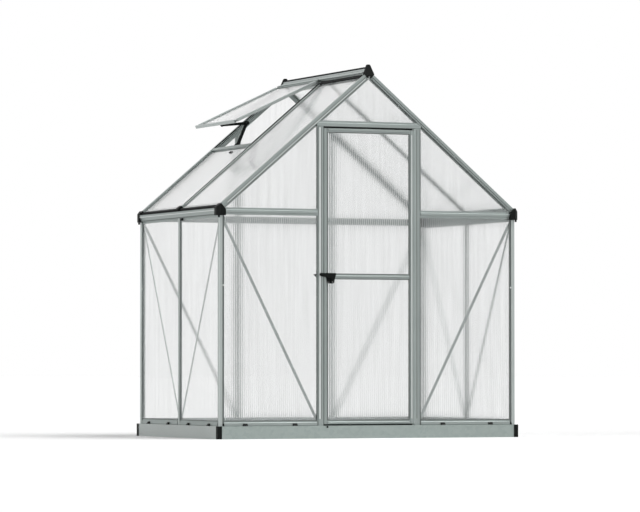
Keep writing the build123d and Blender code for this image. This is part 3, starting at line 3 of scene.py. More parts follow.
import bmesh
import bpy
from mathutils import Matrix, Vector


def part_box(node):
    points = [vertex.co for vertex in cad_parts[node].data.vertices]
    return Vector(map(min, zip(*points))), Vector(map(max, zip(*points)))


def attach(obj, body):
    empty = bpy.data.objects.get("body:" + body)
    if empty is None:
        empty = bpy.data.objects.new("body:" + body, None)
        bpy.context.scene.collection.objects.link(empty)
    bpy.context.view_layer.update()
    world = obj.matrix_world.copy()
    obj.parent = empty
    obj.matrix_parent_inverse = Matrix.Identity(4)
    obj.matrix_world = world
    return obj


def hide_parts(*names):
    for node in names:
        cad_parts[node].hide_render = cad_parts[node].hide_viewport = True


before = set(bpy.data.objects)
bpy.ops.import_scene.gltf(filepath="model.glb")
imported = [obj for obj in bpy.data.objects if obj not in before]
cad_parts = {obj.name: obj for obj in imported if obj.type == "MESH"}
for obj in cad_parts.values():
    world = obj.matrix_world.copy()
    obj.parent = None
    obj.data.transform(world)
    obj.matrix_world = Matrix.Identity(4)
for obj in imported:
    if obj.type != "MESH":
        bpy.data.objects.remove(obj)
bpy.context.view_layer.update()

# Lengths are in metres, angles in degrees, colours linear. A range is its lowest and highest value.

# Slopes of the roof, and of the vent as it stands open
ROOF_PITCH = 40.2
VENT_PITCH = 25.2

# Twin-wall sheet
FLUTE = 0.0124  # between two ribs
FLUTE_CUTS = 4  # strips that make up one flute
SKIN_SAG = 0.00013  # how far each skin dips between two ribs
SIDE_SKIN_SAG = 0.00003
RIB_EDGE = (0.0, 0.4)  # cosine across the flute where a rib begins, and where it is full
STREAK_LENGTH = 30  # streaks in the sheet, length over width
WELD = 1e-5
CUT_TOLERANCE = 1e-6
FLAT_ANGLE = 0.01  # radians, between faces that count as one
SHARP_ANGLE = 40

# Places on the frame
WALL_X = 0.910  # outer faces of the side walls
WALL_Y = 0.615  # outer faces of the end walls
BASE_TOP = 0.072
POST_TOP = 1.240
RIDGE_HEIGHT = 2.069  # where the two slopes would meet
LIP = 0.005  # outer lip of a panel slot behind the outer face

# Trim strips
SHADE_SEAL_RISE = 0.0016  # grey seal strip above the lip, its grey a painted shade
EMBED = 0.0005  # how deep a strip sits in what carries it
EDGE_ROUND = 0.0005
STRIP_FOOT = BASE_TOP + EMBED
POST_RUN = (STRIP_FOOT, POST_TOP - EMBED)
SIDE_POST_RUN = (STRIP_FOOT, 1.230)
BACK_POST_RUNS = (POST_RUN, (1.286, 1.770))  # under and over the tie bars
JAMB_SHADE_SEAL_RUNS = ((STRIP_FOOT, 1.244), (1.285, 1.742))
JAMB_RUN = (0.110, 1.740)
STILE_RUN = (0.110, 1.710)
FOOT_SHADE_SEAL = (0.0985, 0.1028)  # height of the grey seal strips, painted shade, on the bottom rails
GABLE_RUN = (0.045, 1.145)  # down a gable rafter from the ridge
GABLE_UNDERSIDE_RUN = (0.060, 1.145)
MID_RAFTER_RUN = (0.052, 1.150)
VENT_RUN = (0.052, 0.596)
GUTTER_RUN = (-0.583, 0.583)
RIDGE_RUN = (-0.5935, 0.5935)

# Clips
FOOT_CLIPS_END = (-0.755, -0.455)  # middles along the end walls
FOOT_CLIPS_SIDE = (-0.465, -0.155)  # middles along the side walls
CLIP_HALF = 0.013  # half the width
CLIP_TOP = 0.0858
CLIP_OUT = 0.0136  # foot of the clip out from the wall
CLIP_TIP = 0.0036  # top of the clip out from the wall
CLIP_ROUND = 0.0012

# Screw heads: radii, places, and the shape in shares of the radius
POST_SCREW = 0.0045
BASE_SCREW = 0.0055
KNEE_CAP = 0.0135
SCREW_HEIGHT = 0.853
BASE_SCREW_PLACE = (-0.2636, -0.6299, 0.0650)
STAY_KNEE = (-0.3653, 0.3039, 1.8162)  # just in front of the upper arm
HEAD_SIDES = 18
HEAD_HEIGHT = 0.5
HEAD_DOME = 0.3
RECESS_EDGE = 0.25
RECESS_DEPTH = 0.3

# Colours
ALUMINIUM_LIGHT = (0.315, 0.35, 0.34, 1)
ALUMINIUM_DARK = (0.26, 0.295, 0.285, 1)
# Lighter copy of the aluminium for posts, braces, ridge and vent frame: painted light standing for
# their lit faces.
POST_PAINTED_LIT_LIGHT = (0.43, 0.465, 0.455, 1)
POST_PAINTED_LIT_DARK = (0.36, 0.395, 0.385, 1)
# Bright copy of the aluminium: painted highlight on beads and strips. Its dark end is also the
# plated screws' own darker tone.
HIGHLIGHT_BEAD_LIGHT = (0.58, 0.61, 0.60, 1)
HIGHLIGHT_BEAD_AND_SCREW_DARK = (0.49, 0.52, 0.51, 1)
CLOUD_DARK = (0.8, 0.8, 0.8, 1)
ZINC_LIGHT = (0.325, 0.37, 0.355, 1)
ZINC_DARK = (0.27, 0.315, 0.30, 1)
# Lighter copy of the zinc for the side rails: painted light on the faces turned to the sides.
SIDE_ZINC_PAINTED_LIT_LIGHT = (0.40, 0.43, 0.42, 1)
SIDE_ZINC_PAINTED_LIT_DARK = (0.34, 0.37, 0.36, 1)
MOULDING_LIGHT = (0.008, 0.0095, 0.009, 1)
MOULDING_DARK = (0.004, 0.005, 0.0045, 1)
# Grey of the seal strips on the lips: painted shade of the recesses beside the post and rail cores.
SEAL_SHADE_LIGHT = (0.15, 0.165, 0.16, 1)
SEAL_SHADE_DARK = (0.10, 0.115, 0.11, 1)
RUBBER_LIGHT = (0.020, 0.021, 0.021, 1)
RUBBER_DARK = (0.010, 0.011, 0.011, 1)
BOLT_LIGHT = (0.48, 0.49, 0.48, 1)
BOLT_DARK = (0.30, 0.31, 0.30, 1)
SCREW_LIGHT = (0.85, 0.86, 0.86, 1)
SHEET_LIGHT = (0.925, 0.93, 0.93, 1)
SHEET_DARK = (0.875, 0.88, 0.88, 1)
SHEET_LIGHT_THROUGH = (0.45, 0.45, 0.45, 1)
FLOOR_COLOUR = (0.82, 0.82, 0.82, 1)
WHITE = (1, 1, 1, 1)

MOST_NOISE = (0.3, 0.7)  # nearly all values of a noise lie between these


def node(tree, kind, **settings):
    """A new shader node with its settings."""
    made = tree.nodes.new(kind)
    for name, value in settings.items():
        setattr(made, name, value)
    return made


def new_material(name, sockets):
    """A material with one shader; sockets are the values that are the same all over it."""
    material = bpy.data.materials.new(name)
    material.use_nodes = True
    shader = material.node_tree.nodes["Principled BSDF"]
    for socket, value in sockets.items():
        shader.inputs[socket].default_value = value
    return material, material.node_tree, shader


def place(tree, turn=(0, 0, 0), stretch=(1, 1, 1)):
    """The piece's own coordinates, turned and stretched."""
    coordinates = node(tree, "ShaderNodeTexCoord")
    mapping = node(tree, "ShaderNodeMapping", vector_type="TEXTURE")
    mapping.inputs["Rotation"].default_value = [math.radians(a) for a in turn]
    mapping.inputs["Scale"].default_value = stretch
    tree.links.new(coordinates.outputs["Object"], mapping.inputs["Vector"])
    return mapping.outputs["Vector"]


def noise(tree, vector, scale, detail, roughness=0.5):
    """A noise over the given coordinates."""
    made = node(tree, "ShaderNodeTexNoise")
    made.inputs["Scale"].default_value = scale
    made.inputs["Detail"].default_value = detail
    made.inputs["Roughness"].default_value = roughness
    tree.links.new(vector, made.inputs["Vector"])
    return made.outputs["Fac"]


def ramp(tree, value, low, high, at=MOST_NOISE):
    """Colours from low to high as value goes from at[0] to at[1]."""
    made = node(tree, "ShaderNodeValToRGB")
    for stop, colour, position in zip(made.color_ramp.elements, (low, high), at):
        stop.color = colour
        stop.position = position
    tree.links.new(value, made.inputs["Fac"])
    return made.outputs["Color"]


def spread(tree, value, low, high, at=(0.0, 1.0)):
    """Numbers from low to high as value goes from at[0] to at[1]."""
    made = node(tree, "ShaderNodeMapRange")
    for socket, number in zip(("From Min", "From Max", "To Min", "To Max"), (*at, low, high)):
        made.inputs[socket].default_value = number
    tree.links.new(value, made.inputs["Value"])
    return made.outputs["Result"]


def bump(tree, shader, height, depth):
    """Relief of the given depth."""
    made = node(tree, "ShaderNodeBump")
    made.inputs["Distance"].default_value = depth
    tree.links.new(height, made.inputs["Height"])
    tree.links.new(made.outputs["Normal"], shader.inputs["Normal"])


def extruded_aluminium(name, turn, dark=ALUMINIUM_DARK, light=ALUMINIUM_LIGHT):
    """Mill-finished aluminium with fine die lines along the profile."""
    material, tree, shader = new_material(name, {"Metallic": 0.85})
    die_lines = noise(tree, place(tree, turn, stretch=(60, 1, 1)), scale=900, detail=3)
    clouds = noise(tree, place(tree, turn, stretch=(4, 1, 1)), scale=14, detail=2)
    colour = node(tree, "ShaderNodeMix", data_type="RGBA", blend_type="MULTIPLY")
    colour.inputs["Factor"].default_value = 0.35
    tree.links.new(ramp(tree, die_lines, dark, light), colour.inputs["A"])
    tree.links.new(ramp(tree, clouds, CLOUD_DARK, WHITE), colour.inputs["B"])
    tree.links.new(colour.outputs["Result"], shader.inputs["Base Color"])
    roughness = spread(tree, die_lines, low=0.36, high=0.52, at=MOST_NOISE)
    tree.links.new(roughness, shader.inputs["Roughness"])
    bump(tree, shader, die_lines, depth=0.00005)
    return material


def galvanised_steel(name, dark, light):
    """Zinc-coated sheet with a soft spangle."""
    material, tree, shader = new_material(name, {"Metallic": 0.8})
    spangle = node(tree, "ShaderNodeTexVoronoi")
    spangle.inputs["Scale"].default_value = 55
    tree.links.new(place(tree), spangle.inputs["Vector"])
    tone = node(tree, "ShaderNodeRGBToBW")
    tree.links.new(spangle.outputs["Color"], tone.inputs["Color"])
    colour = ramp(tree, tone.outputs["Val"], dark, light, at=(0, 1))
    tree.links.new(colour, shader.inputs["Base Color"])
    roughness = spread(tree, tone.outputs["Val"], low=0.36, high=0.56)
    tree.links.new(roughness, shader.inputs["Roughness"])
    bump(tree, shader, noise(tree, place(tree), scale=900, detail=2), depth=0.00004)
    return material


def moulded(name, dark, light, grain, roughness, sockets):
    """A plain finish with fine grain: moulded plastic, rubber or plated bolts."""
    material, tree, shader = new_material(name, sockets)
    fine = noise(tree, place(tree), scale=grain, detail=4, roughness=0.6)
    tree.links.new(ramp(tree, fine, dark, light), shader.inputs["Base Color"])
    tree.links.new(spread(tree, fine, *roughness, at=MOST_NOISE), shader.inputs["Roughness"])
    bump(tree, shader, fine, depth=0.0001)
    return material


def twin_wall(name, across, clear, ribbed):
    """Clear fluted sheet, rougher at its ribs: it blurs what is far behind, and light passes."""
    material, tree, shader = new_material(name, {"Transmission Weight": 0.98, "IOR": 1.35})
    lengthwise = [1 if a == across else STREAK_LENGTH for a in "XYZ"]
    streaks = noise(tree, place(tree, stretch=lengthwise), scale=60, detail=2)
    tree.links.new(ramp(tree, streaks, SHEET_DARK, SHEET_LIGHT), shader.inputs["Base Color"])
    along = node(tree, "ShaderNodeSeparateXYZ")
    tree.links.new(place(tree), along.inputs["Vector"])
    turn = node(tree, "ShaderNodeMath", operation="MULTIPLY")
    turn.inputs[1].default_value = 2 * math.pi / FLUTE
    tree.links.new(along.outputs[across], turn.inputs[0])
    rib = node(tree, "ShaderNodeMath", operation="COSINE")
    tree.links.new(turn.outputs["Value"], rib.inputs[0])
    roughness = spread(tree, rib.outputs["Value"], clear, ribbed, at=RIB_EDGE)
    tree.links.new(roughness, shader.inputs["Roughness"])
    light_through = node(tree, "ShaderNodeBsdfTransparent")
    light_through.inputs["Color"].default_value = SHEET_LIGHT_THROUGH
    path = node(tree, "ShaderNodeLightPath")
    mix = node(tree, "ShaderNodeMixShader")
    tree.links.new(path.outputs["Is Shadow Ray"], mix.inputs["Fac"])
    tree.links.new(shader.outputs["BSDF"], mix.inputs[1])
    tree.links.new(light_through.outputs["BSDF"], mix.inputs[2])
    tree.links.new(mix.outputs["Shader"], tree.nodes["Material Output"].inputs["Surface"])
    return material


def finish_piece(shape, name, body, material):
    """Turns a bmesh into a piece that rides on a body."""
    mesh = bpy.data.meshes.new(name)
    shape.to_mesh(mesh)
    shape.free()
    piece = bpy.data.objects.new(name, mesh)
    bpy.context.scene.collection.objects.link(piece)
    mesh.materials.append(material)
    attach(piece, body)
    return piece


def reaches(part, across, limit):
    """Whether a vertex, edge or face lies at least partly past a limit."""
    verts = [part] if isinstance(part, bmesh.types.BMVert) else part.verts
    return max(vert.co.dot(across) for vert in verts) > limit


def twin_wall_sheet(node_name, body, axis, material, sag=SKIN_SAG):
    """Panels of a node as fluted sheet: both skins dip between the ribs."""
    shape = bmesh.new()
    shape.from_mesh(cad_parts[node_name].data)
    bmesh.ops.remove_doubles(shape, verts=shape.verts, dist=WELD)
    bmesh.ops.dissolve_limit(
        shape, angle_limit=FLAT_ANGLE, verts=shape.verts, edges=shape.edges
    )
    skin_way = max(shape.faces, key=lambda face: face.calc_area()).normal.copy()
    across = Vector([float(a == axis) for a in "XYZ"])
    low, high = (corner.dot(across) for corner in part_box(node_name))
    step = FLUTE / FLUTE_CUTS
    uncut = [*shape.verts, *shape.edges, *shape.faces]
    for cut_no in range(math.floor(low / step) + 1, math.ceil(high / step)):
        cut = bmesh.ops.bisect_plane(
            shape, geom=uncut, dist=CUT_TOLERANCE, plane_co=across * (cut_no * step),
            plane_no=across,
        )
        limit = cut_no * step - CUT_TOLERANCE
        uncut = [part for part in cut["geom"] if part.is_valid and reaches(part, across, limit)]
    heights = [vert.co.dot(skin_way) for vert in shape.verts]
    middle = (min(heights) + max(heights)) / 2
    for vert in shape.verts:
        side = math.copysign(1, vert.co.dot(skin_way) - middle)
        turn = 2 * math.pi * vert.co.dot(across) / FLUTE
        vert.co -= skin_way * side * sag * (1 - math.cos(turn)) / 2
    for face in shape.faces:
        face.smooth = abs(face.normal.dot(skin_way)) > 0.5
    name = node_name.replace("pane", "sheet_pane")
    piece = finish_piece(shape, name, body, material)
    piece.data.set_sharp_from_angle(angle=math.radians(SHARP_ANGLE))
    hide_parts(node_name)


# Aluminium is named after the way that its profiles run.
ALONG_X = extruded_aluminium("aluminium_across", (0, 0, 0))
ALONG_Y = extruded_aluminium("aluminium_lengthwise", (0, 0, 90))
ALONG_Z = extruded_aluminium("aluminium_upright", (0, -90, 0))
LEFT_SLOPE = extruded_aluminium("aluminium_left_slope", (0, -ROOF_PITCH, 0))
RIGHT_SLOPE = extruded_aluminium("aluminium_right_slope", (0, ROOF_PITCH, 0))
# The vent frame, posts, braces and ridge take the lighter copy of the aluminium, painted light for
# their lit faces.
VENT_SLOPE_PAINTED_LIT = extruded_aluminium(
    "aluminium_vent_slope_painted_lit", (0, -VENT_PITCH, 0), POST_PAINTED_LIT_DARK, POST_PAINTED_LIT_LIGHT
)
POSTS_PAINTED_LIT = extruded_aluminium("aluminium_posts_painted_lit", (0, -90, 0), POST_PAINTED_LIT_DARK, POST_PAINTED_LIT_LIGHT)
RIDGE_PAINTED_LIT = extruded_aluminium("aluminium_ridge_painted_lit", (0, 0, 90), POST_PAINTED_LIT_DARK, POST_PAINTED_LIT_LIGHT)
# A bright copy of the aluminium: painted highlight on beads and strips.
PAINTED_HIGHLIGHT_BEAD = extruded_aluminium("painted_highlight_bead", (0, 0, 0), HIGHLIGHT_BEAD_AND_SCREW_DARK, HIGHLIGHT_BEAD_LIGHT)
BASE_ZINC = galvanised_steel("galvanised_base", ZINC_DARK, ZINC_LIGHT)
# The side rails take the lighter zinc, painted light on the faces turned to the sides.
SIDE_ZINC_PAINTED_LIT = galvanised_steel("galvanised_base_sides_painted_lit", SIDE_ZINC_PAINTED_LIT_DARK, SIDE_ZINC_PAINTED_LIT_LIGHT)
BLACK_MOULDING = moulded(
    "black_moulding", MOULDING_DARK, MOULDING_LIGHT, grain=700, roughness=(0.42, 0.62),
    sockets={"Specular IOR Level": 0.08},
)
# Grey seal strips: painted shade on the recessed lips.
SHADE_GLAZING_SEAL = moulded(
    "painted_shade_glazing_seal", SEAL_SHADE_DARK, SEAL_SHADE_LIGHT, grain=400, roughness=(0.6, 0.8),
    sockets={"Specular IOR Level": 0.2},
)
SEAL_RUBBER = moulded(
    "seal_rubber_finish", RUBBER_DARK, RUBBER_LIGHT, grain=400, roughness=(0.7, 0.9),
    sockets={"Specular IOR Level": 0.12},
)
PLATED_BOLT = moulded(
    "plated_bolt", BOLT_DARK, BOLT_LIGHT, grain=300, roughness=(0.25, 0.5),
    sockets={"Metallic": 0.9},
)
PLATED_SCREW = moulded(
    "plated_screw", HIGHLIGHT_BEAD_AND_SCREW_DARK, SCREW_LIGHT, grain=300, roughness=(0.25, 0.45),
    sockets={"Metallic": 0.7},
)
END_SHEET = twin_wall("twin_wall_end_walls", "X", clear=0.02, ribbed=0.2)
SIDE_SHEET = twin_wall("twin_wall_sides", "Y", clear=0.005, ribbed=0.03)
ROOF_SHEET = twin_wall("twin_wall_roof", "Y", clear=0.06, ribbed=0.12)

FINISHES = {
    ALONG_X: (
        "door_header", "bottom_rails_ends", "end_wall_tie_bars",
        "door_top_rail", "door_mid_rail", "door_bottom_rail",
    ),
    ALONG_Y: (
        "bottom_rails_sides", "gutter_left", "gutter_right", "vent_sill", "vent_hinge_rail",
    ),
    RIDGE_PAINTED_LIT: ("ridge_beam",),
    POSTS_PAINTED_LIT: (
        "corner_post_front_left", "corner_post_front_right",
        "corner_post_back_left", "corner_post_back_right",
        "side_post_left", "side_post_right", "back_post_left", "back_post_right",
        "wall_braces",
    ),
    ALONG_Z: (
        "door_jamb_latch_side", "door_jamb_hinge_side",
        "door_stile_latch_side", "door_stile_hinge_side",
    ),
    LEFT_SLOPE: ("rafter_front_left", "rafter_back_left", "rafter_mid_left"),
    RIGHT_SLOPE: ("rafter_front_right", "rafter_back_right", "rafter_mid_right"),
    VENT_SLOPE_PAINTED_LIT: ("vent_frame_rails",),
    BASE_ZINC: ("base_rail_front", "base_rail_back"),
    SIDE_ZINC_PAINTED_LIT: ("base_rail_left", "base_rail_right"),
    BLACK_MOULDING: (
        "base_corner_caps", "panel_clips", "ridge_end_caps", "eave_corner_caps",
        "rafter_foot_caps", "latch_plate", "latch_lever", "latch_cam", "latch_keeper",
        "vent_stay_bracket", "sill_stay_bracket", "stay_lower_arm", "stay_upper_arm",
    ),
    SEAL_RUBBER: ("eave_seals", "weather_strips"),
    PLATED_BOLT: ("brace_bolts",),
}

for finish, names in FINISHES.items():
    for name in names:
        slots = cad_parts[name].data.materials
        slots.clear()
        slots.append(finish)

for name in ("front_panels", "back_panels"):
    twin_wall_sheet(name, "frame", "X", END_SHEET)
for name in ("side_panels_left", "side_panels_right"):
    twin_wall_sheet(name, "frame", "Y", SIDE_SHEET, SIDE_SKIN_SAG)
for name in ("roof_panels_left", "roof_panels_right"):
    twin_wall_sheet(name, "frame", "Y", ROOF_SHEET)
twin_wall_sheet("door_panes", "door", "X", END_SHEET)
twin_wall_sheet("vent_pane", "vent", "Y", ROOF_SHEET)


def bar(shape, x, y, z, turn=Matrix()):
    """A straight strip, given by its ranges of x, y and z, then turned."""
    low, high = (Vector(ends) for ends in zip(x, y, z))
    corners = bmesh.ops.create_cube(shape, size=1)["verts"]
    bmesh.ops.scale(shape, vec=high - low, verts=corners)
    bmesh.ops.translate(shape, vec=(low + high) / 2, verts=corners)
    bmesh.ops.transform(shape, matrix=turn, verts=corners)
    return corners


def on_left_slope(shape, down, y, rise):
    """A strip on the left slope: ranges down from the ridge, along y and above the rafters' top."""
    pitch = Matrix.Rotation(-math.radians(ROOF_PITCH), 4, "Y")
    turn = Matrix.Translation((0, 0, RIDGE_HEIGHT)) @ pitch
    bar(shape, (-down[1], -down[0]), y, rise, turn)


def add_mirror_image(shape, axis):
    """Adds everything in the shape once more, mirrored along an axis."""
    everything = [*shape.verts, *shape.edges, *shape.faces]
    copy = bmesh.ops.duplicate(shape, geom=everything)["geom"]
    corners = [part for part in copy if isinstance(part, bmesh.types.BMVert)]
    bmesh.ops.scale(shape, vec=[-1 if a == axis else 1 for a in "XYZ"], verts=corners)


def join(shape, other):
    """Adds another bmesh to a shape."""
    mesh = bpy.data.meshes.new("joined")
    other.to_mesh(mesh)
    other.free()
    shape.from_mesh(mesh)
    bpy.data.meshes.remove(mesh)


def rounded(shape, radius):
    """Rounds every edge of the bars in a shape."""
    bmesh.ops.recalc_face_normals(shape, faces=shape.faces)
    bmesh.ops.bevel(
        shape, geom=shape.edges[:], offset=radius, segments=2, profile=0.5, affect="EDGES",
        material=-1, clamp_overlap=True,
    )
    return shape


def lip_shade_seal(x, z):
    """Ranges of a grey seal strip, painted shade, on an outer lip of the front wall."""
    return x, (-WALL_Y + LIP - SHADE_SEAL_RISE, -WALL_Y + LIP + EMBED), z


def side_lip_shade_seal(y, z):
    """Ranges of a grey seal strip, painted shade, on an outer lip of the left wall."""
    return (-WALL_X + LIP - SHADE_SEAL_RISE, -WALL_X + LIP + EMBED), y, z


def painted_shade_glazing_seals():
    """Grey wedge seals along the slots of the walls, gables and gutters; their grey is painted
    shade on the recessed lips.
    """
    corner_lip = (-0.8898, -0.8795)
    corner_side_lip = (-0.5895, -0.5845)
    side_post_lip = (-0.0168, -0.0064)
    side_bay = (-0.5840, -0.0175)
    quarter = bmesh.new()
    bar(quarter, *lip_shade_seal(corner_lip, POST_RUN))
    bar(quarter, *side_lip_shade_seal(corner_side_lip, POST_RUN))
    bar(quarter, *side_lip_shade_seal(side_bay, FOOT_SHADE_SEAL))
    bar(quarter, *side_lip_shade_seal(side_post_lip, SIDE_POST_RUN))
    on_left_slope(quarter, GABLE_RUN, y=(-0.6114, -0.6095), rise=(-0.0193, -0.0162))
    on_left_slope(quarter, GABLE_UNDERSIDE_RUN, y=(-0.6088, -0.6064), rise=(-0.0312, -0.0268))
    add_mirror_image(quarter, "Y")

    jamb_lip = (-0.3198, -0.3158)
    front_bay = (-0.8790, -0.3205)
    front = bmesh.new()
    for run in JAMB_SHADE_SEAL_RUNS:
        bar(front, *lip_shade_seal(jamb_lip, run))
    bar(front, *lip_shade_seal(front_bay, FOOT_SHADE_SEAL))
    bar(front, x=(-0.2958, -0.2920), y=(-0.6154, -0.6145), z=JAMB_RUN)

    back_post_lips = ((-0.3168, -0.3115), (-0.2885, -0.2832))
    back_bays = ((-0.8790, -0.3175), (-0.2825, 0))
    back = bmesh.new()
    for run in BACK_POST_RUNS:
        for lip in back_post_lips:
            bar(back, *lip_shade_seal(lip, run))
    for bay in back_bays:
        bar(back, *lip_shade_seal(bay, FOOT_SHADE_SEAL))
    bmesh.ops.scale(back, vec=(1, -1, 1), verts=back.verts)

    gutter = bmesh.new()
    bar(gutter, x=(-0.9257, -0.9245), y=GUTTER_RUN, z=(1.2790, 1.2822))
    bar(gutter, x=(-0.9170, -0.9125), y=GUTTER_RUN, z=(1.2440, 1.2478))

    shape = bmesh.new()
    for part in (quarter, front, back, gutter):
        join(shape, part)
    add_mirror_image(shape, "X")
    rounded(shape, EDGE_ROUND)
    finish_piece(shape, "painted_shade_glazing_seals", "frame", SHADE_GLAZING_SEAL)


def painted_highlight_beads():
    """Beads on the gable rafters, middle rafters and gutters, and a strip on the latch jamb: on the
    left they are a bright copy of the aluminium, a painted highlight, on the right the plain slope
    aluminium.
    """
    # Painted highlight on the left beads only; the right ones keep the plain slope aluminium, as if
    # lit from one side.
    for side, finish in (("left", PAINTED_HIGHLIGHT_BEAD), ("right", RIGHT_SLOPE)):
        shape = bmesh.new()
        on_left_slope(shape, GABLE_RUN, y=(-0.6128, -0.6095), rise=(-0.0255, -0.0195))
        add_mirror_image(shape, "Y")
        on_left_slope(shape, MID_RAFTER_RUN, y=(-0.0167, -0.0082), rise=(-0.0055, -0.0018))
        bar(shape, x=(-0.9263, -0.9245), y=GUTTER_RUN, z=(1.2660, 1.2702))
        if side == "right":
            bmesh.ops.scale(shape, vec=(-1, 1, 1), verts=shape.verts)
        else:
            bar(shape, x=(-0.3086, -0.2962), y=(-0.6157, -0.6145), z=JAMB_RUN)
        rounded(shape, EDGE_ROUND)
        finish_piece(shape, side + "_beads", "frame", finish)


def roof_seals_and_ridge_shade():
    """Black strips: rubber seals along the middle rafters and beside the vent's opening, and over
    the ridge a black strip of painted shade.
    """
    shape = bmesh.new()
    on_left_slope(shape, MID_RAFTER_RUN, y=(-0.0063, 0.0), rise=(-EMBED, 0.0002))
    on_left_slope(shape, MID_RAFTER_RUN, y=(-0.0080, -0.0058), rise=(-0.0052, 0.0008))
    add_mirror_image(shape, "X")
    for beside_vent in ((0.0064, 0.0165), (0.5845, 0.5946)):
        on_left_slope(shape, VENT_RUN, y=beside_vent, rise=(-0.0054, 0.0002))
    # Black strip over the ridge top: painted shade.
    bar(shape, x=(-0.0146, 0.0146), y=RIDGE_RUN, z=(2.0805, 2.0884))
    rounded(shape, EDGE_ROUND)
    finish_piece(shape, "roof_seals_and_ridge_shade", "frame", SEAL_RUBBER)


def wedge(shape, x, y, z, tip):
    """A block whose outer face, towards lower x, leans in to tip at its top."""
    for corner in bar(shape, x, y, z):
        if corner.co.z > sum(z) / 2 and corner.co.x < sum(x) / 2:
            corner.co.x = tip


def wall_clip(shape, wall, middle):
    """A wedge at the foot of a wall, the wall's outer face being at x = -wall."""
    wedge(
        shape, x=(-wall - CLIP_OUT, -wall + EMBED), y=(middle - CLIP_HALF, middle + CLIP_HALF),
        z=(BASE_TOP, CLIP_TOP), tip=-wall - CLIP_TIP,
    )


def foot_clips():
    """Black clips at the foot of the walls, under gutters and sill, and covers on rafter feet."""
    shape = bmesh.new()
    for middle in FOOT_CLIPS_SIDE:
        wall_clip(shape, WALL_X, middle)
    ends = bmesh.new()
    for middle in FOOT_CLIPS_END:
        wall_clip(ends, WALL_Y, middle)
    wedge(ends, x=(-0.6190, -0.6095), y=(-0.8895, -0.8800), z=(BASE_TOP, 0.0870), tip=-0.6130)
    to_end_wall = Matrix.Rotation(math.radians(90), 3, "Z")
    bmesh.ops.rotate(ends, matrix=to_end_wall, verts=ends.verts)
    bmesh.ops.scale(ends, vec=(-1, 1, 1), verts=ends.verts)
    join(shape, ends)
    add_mirror_image(shape, "Y")
    wedge(shape, x=(-0.9135, -0.9045), y=(-0.056, -0.030), z=(1.2285, 1.2425), tip=-0.9125)
    on_left_slope(shape, (1.174, 1.207), y=(-0.0205, 0.0205), rise=(-0.010, 0.0060))
    add_mirror_image(shape, "X")
    on_left_slope(shape, (0.652, 0.664), y=(0.210, 0.248), rise=(-0.0088, -0.0030))
    rounded(shape, CLIP_ROUND)
    finish_piece(shape, "foot_clips", "frame", BLACK_MOULDING)


def screw_head(shape, spot, way, radius):
    """A domed screw head with a round recess, facing way."""
    head = bmesh.new()
    bmesh.ops.create_circle(head, cap_ends=True, segments=HEAD_SIDES, radius=radius)
    raised = bmesh.ops.extrude_face_region(head, geom=head.faces[:])["geom"]
    corners = [part for part in raised if isinstance(part, bmesh.types.BMVert)]
    bmesh.ops.translate(head, vec=(0, 0, radius * HEAD_HEIGHT), verts=corners)
    top_face = max(head.faces, key=lambda face: face.calc_center_median().z)
    bmesh.ops.bevel(
        head, geom=top_face.edges[:], offset=radius * HEAD_DOME, segments=3, profile=0.5,
        affect="EDGES", material=-1,
    )
    top_face = max(
        head.faces, key=lambda face: (face.calc_center_median().z, face.calc_area())
    )
    bmesh.ops.inset_region(head, faces=[top_face], thickness=radius * RECESS_EDGE)
    bmesh.ops.translate(head, vec=(0, 0, -radius * RECESS_DEPTH), verts=top_face.verts)
    turn = Vector(way).to_track_quat("Z", "Y").to_matrix().to_4x4()
    bmesh.ops.transform(head, matrix=Matrix.Translation(spot) @ turn, verts=head.verts)
    bmesh.ops.recalc_face_normals(head, faces=head.faces)
    join(shape, head)


def frame_screws():
    """Plated screws on the corner posts, and a black one on the base below the latch."""
    plated = bmesh.new()
    for side in (-1, 1):
        on_front = (side * 0.8847, -WALL_Y + LIP - SHADE_SEAL_RISE, SCREW_HEIGHT)
        on_side = (side * (WALL_X - LIP + SHADE_SEAL_RISE), 0.5870, SCREW_HEIGHT)
        screw_head(plated, on_front, (0, -1, 0), POST_SCREW)
        screw_head(plated, on_side, (side, 0, 0), POST_SCREW)
    finish_piece(plated, "post_screws", "frame", PLATED_SCREW)
    black = bmesh.new()
    screw_head(black, BASE_SCREW_PLACE, (0, -1, 0), BASE_SCREW)
    finish_piece(black, "base_screw", "frame", BLACK_MOULDING)


def stay_knee_cap():
    """A black domed cap on the knee of the vent's stay."""
    shape = bmesh.new()
    screw_head(shape, STAY_KNEE, (0, -1, 0), KNEE_CAP)
    finish_piece(shape, "stay_knee_cap", "stay_upper", BLACK_MOULDING)


def door_shade_seals_and_highlight():
    """Grey seals round both door panes, their grey painted shade, and a strip of painted highlight
    on the hinge stile.
    """
    depth = (-0.6094, -0.6075)
    upright = (0.1015, 1.7165)
    across = (-0.2512, 0.2482)
    shape = bmesh.new()
    bar(shape, x=(-0.2555, -0.2512), y=depth, z=upright)
    bar(shape, x=(0.2482, 0.2525), y=depth, z=upright)
    for height in ((0.1008, 0.1048), (0.8912, 0.8952), (0.9198, 0.9238), (1.7130, 1.7172)):
        bar(shape, x=across, y=depth, z=height)
    rounded(shape, EDGE_ROUND)
    finish_piece(shape, "painted_shade_door_pane_seals", "door", SHADE_GLAZING_SEAL)
    # The stile strip is a painted highlight.
    strip = bmesh.new()
    bar(strip, x=(0.2594, 0.2666), y=(-0.6137, -0.6125), z=STILE_RUN)
    rounded(strip, EDGE_ROUND)
    finish_piece(strip, "door_stile_painted_highlight", "door", PAINTED_HIGHLIGHT_BEAD)


painted_shade_glazing_seals()
painted_highlight_beads()
roof_seals_and_ridge_shade()
foot_clips()
frame_screws()
stay_knee_cap()
door_shade_seals_and_highlight()


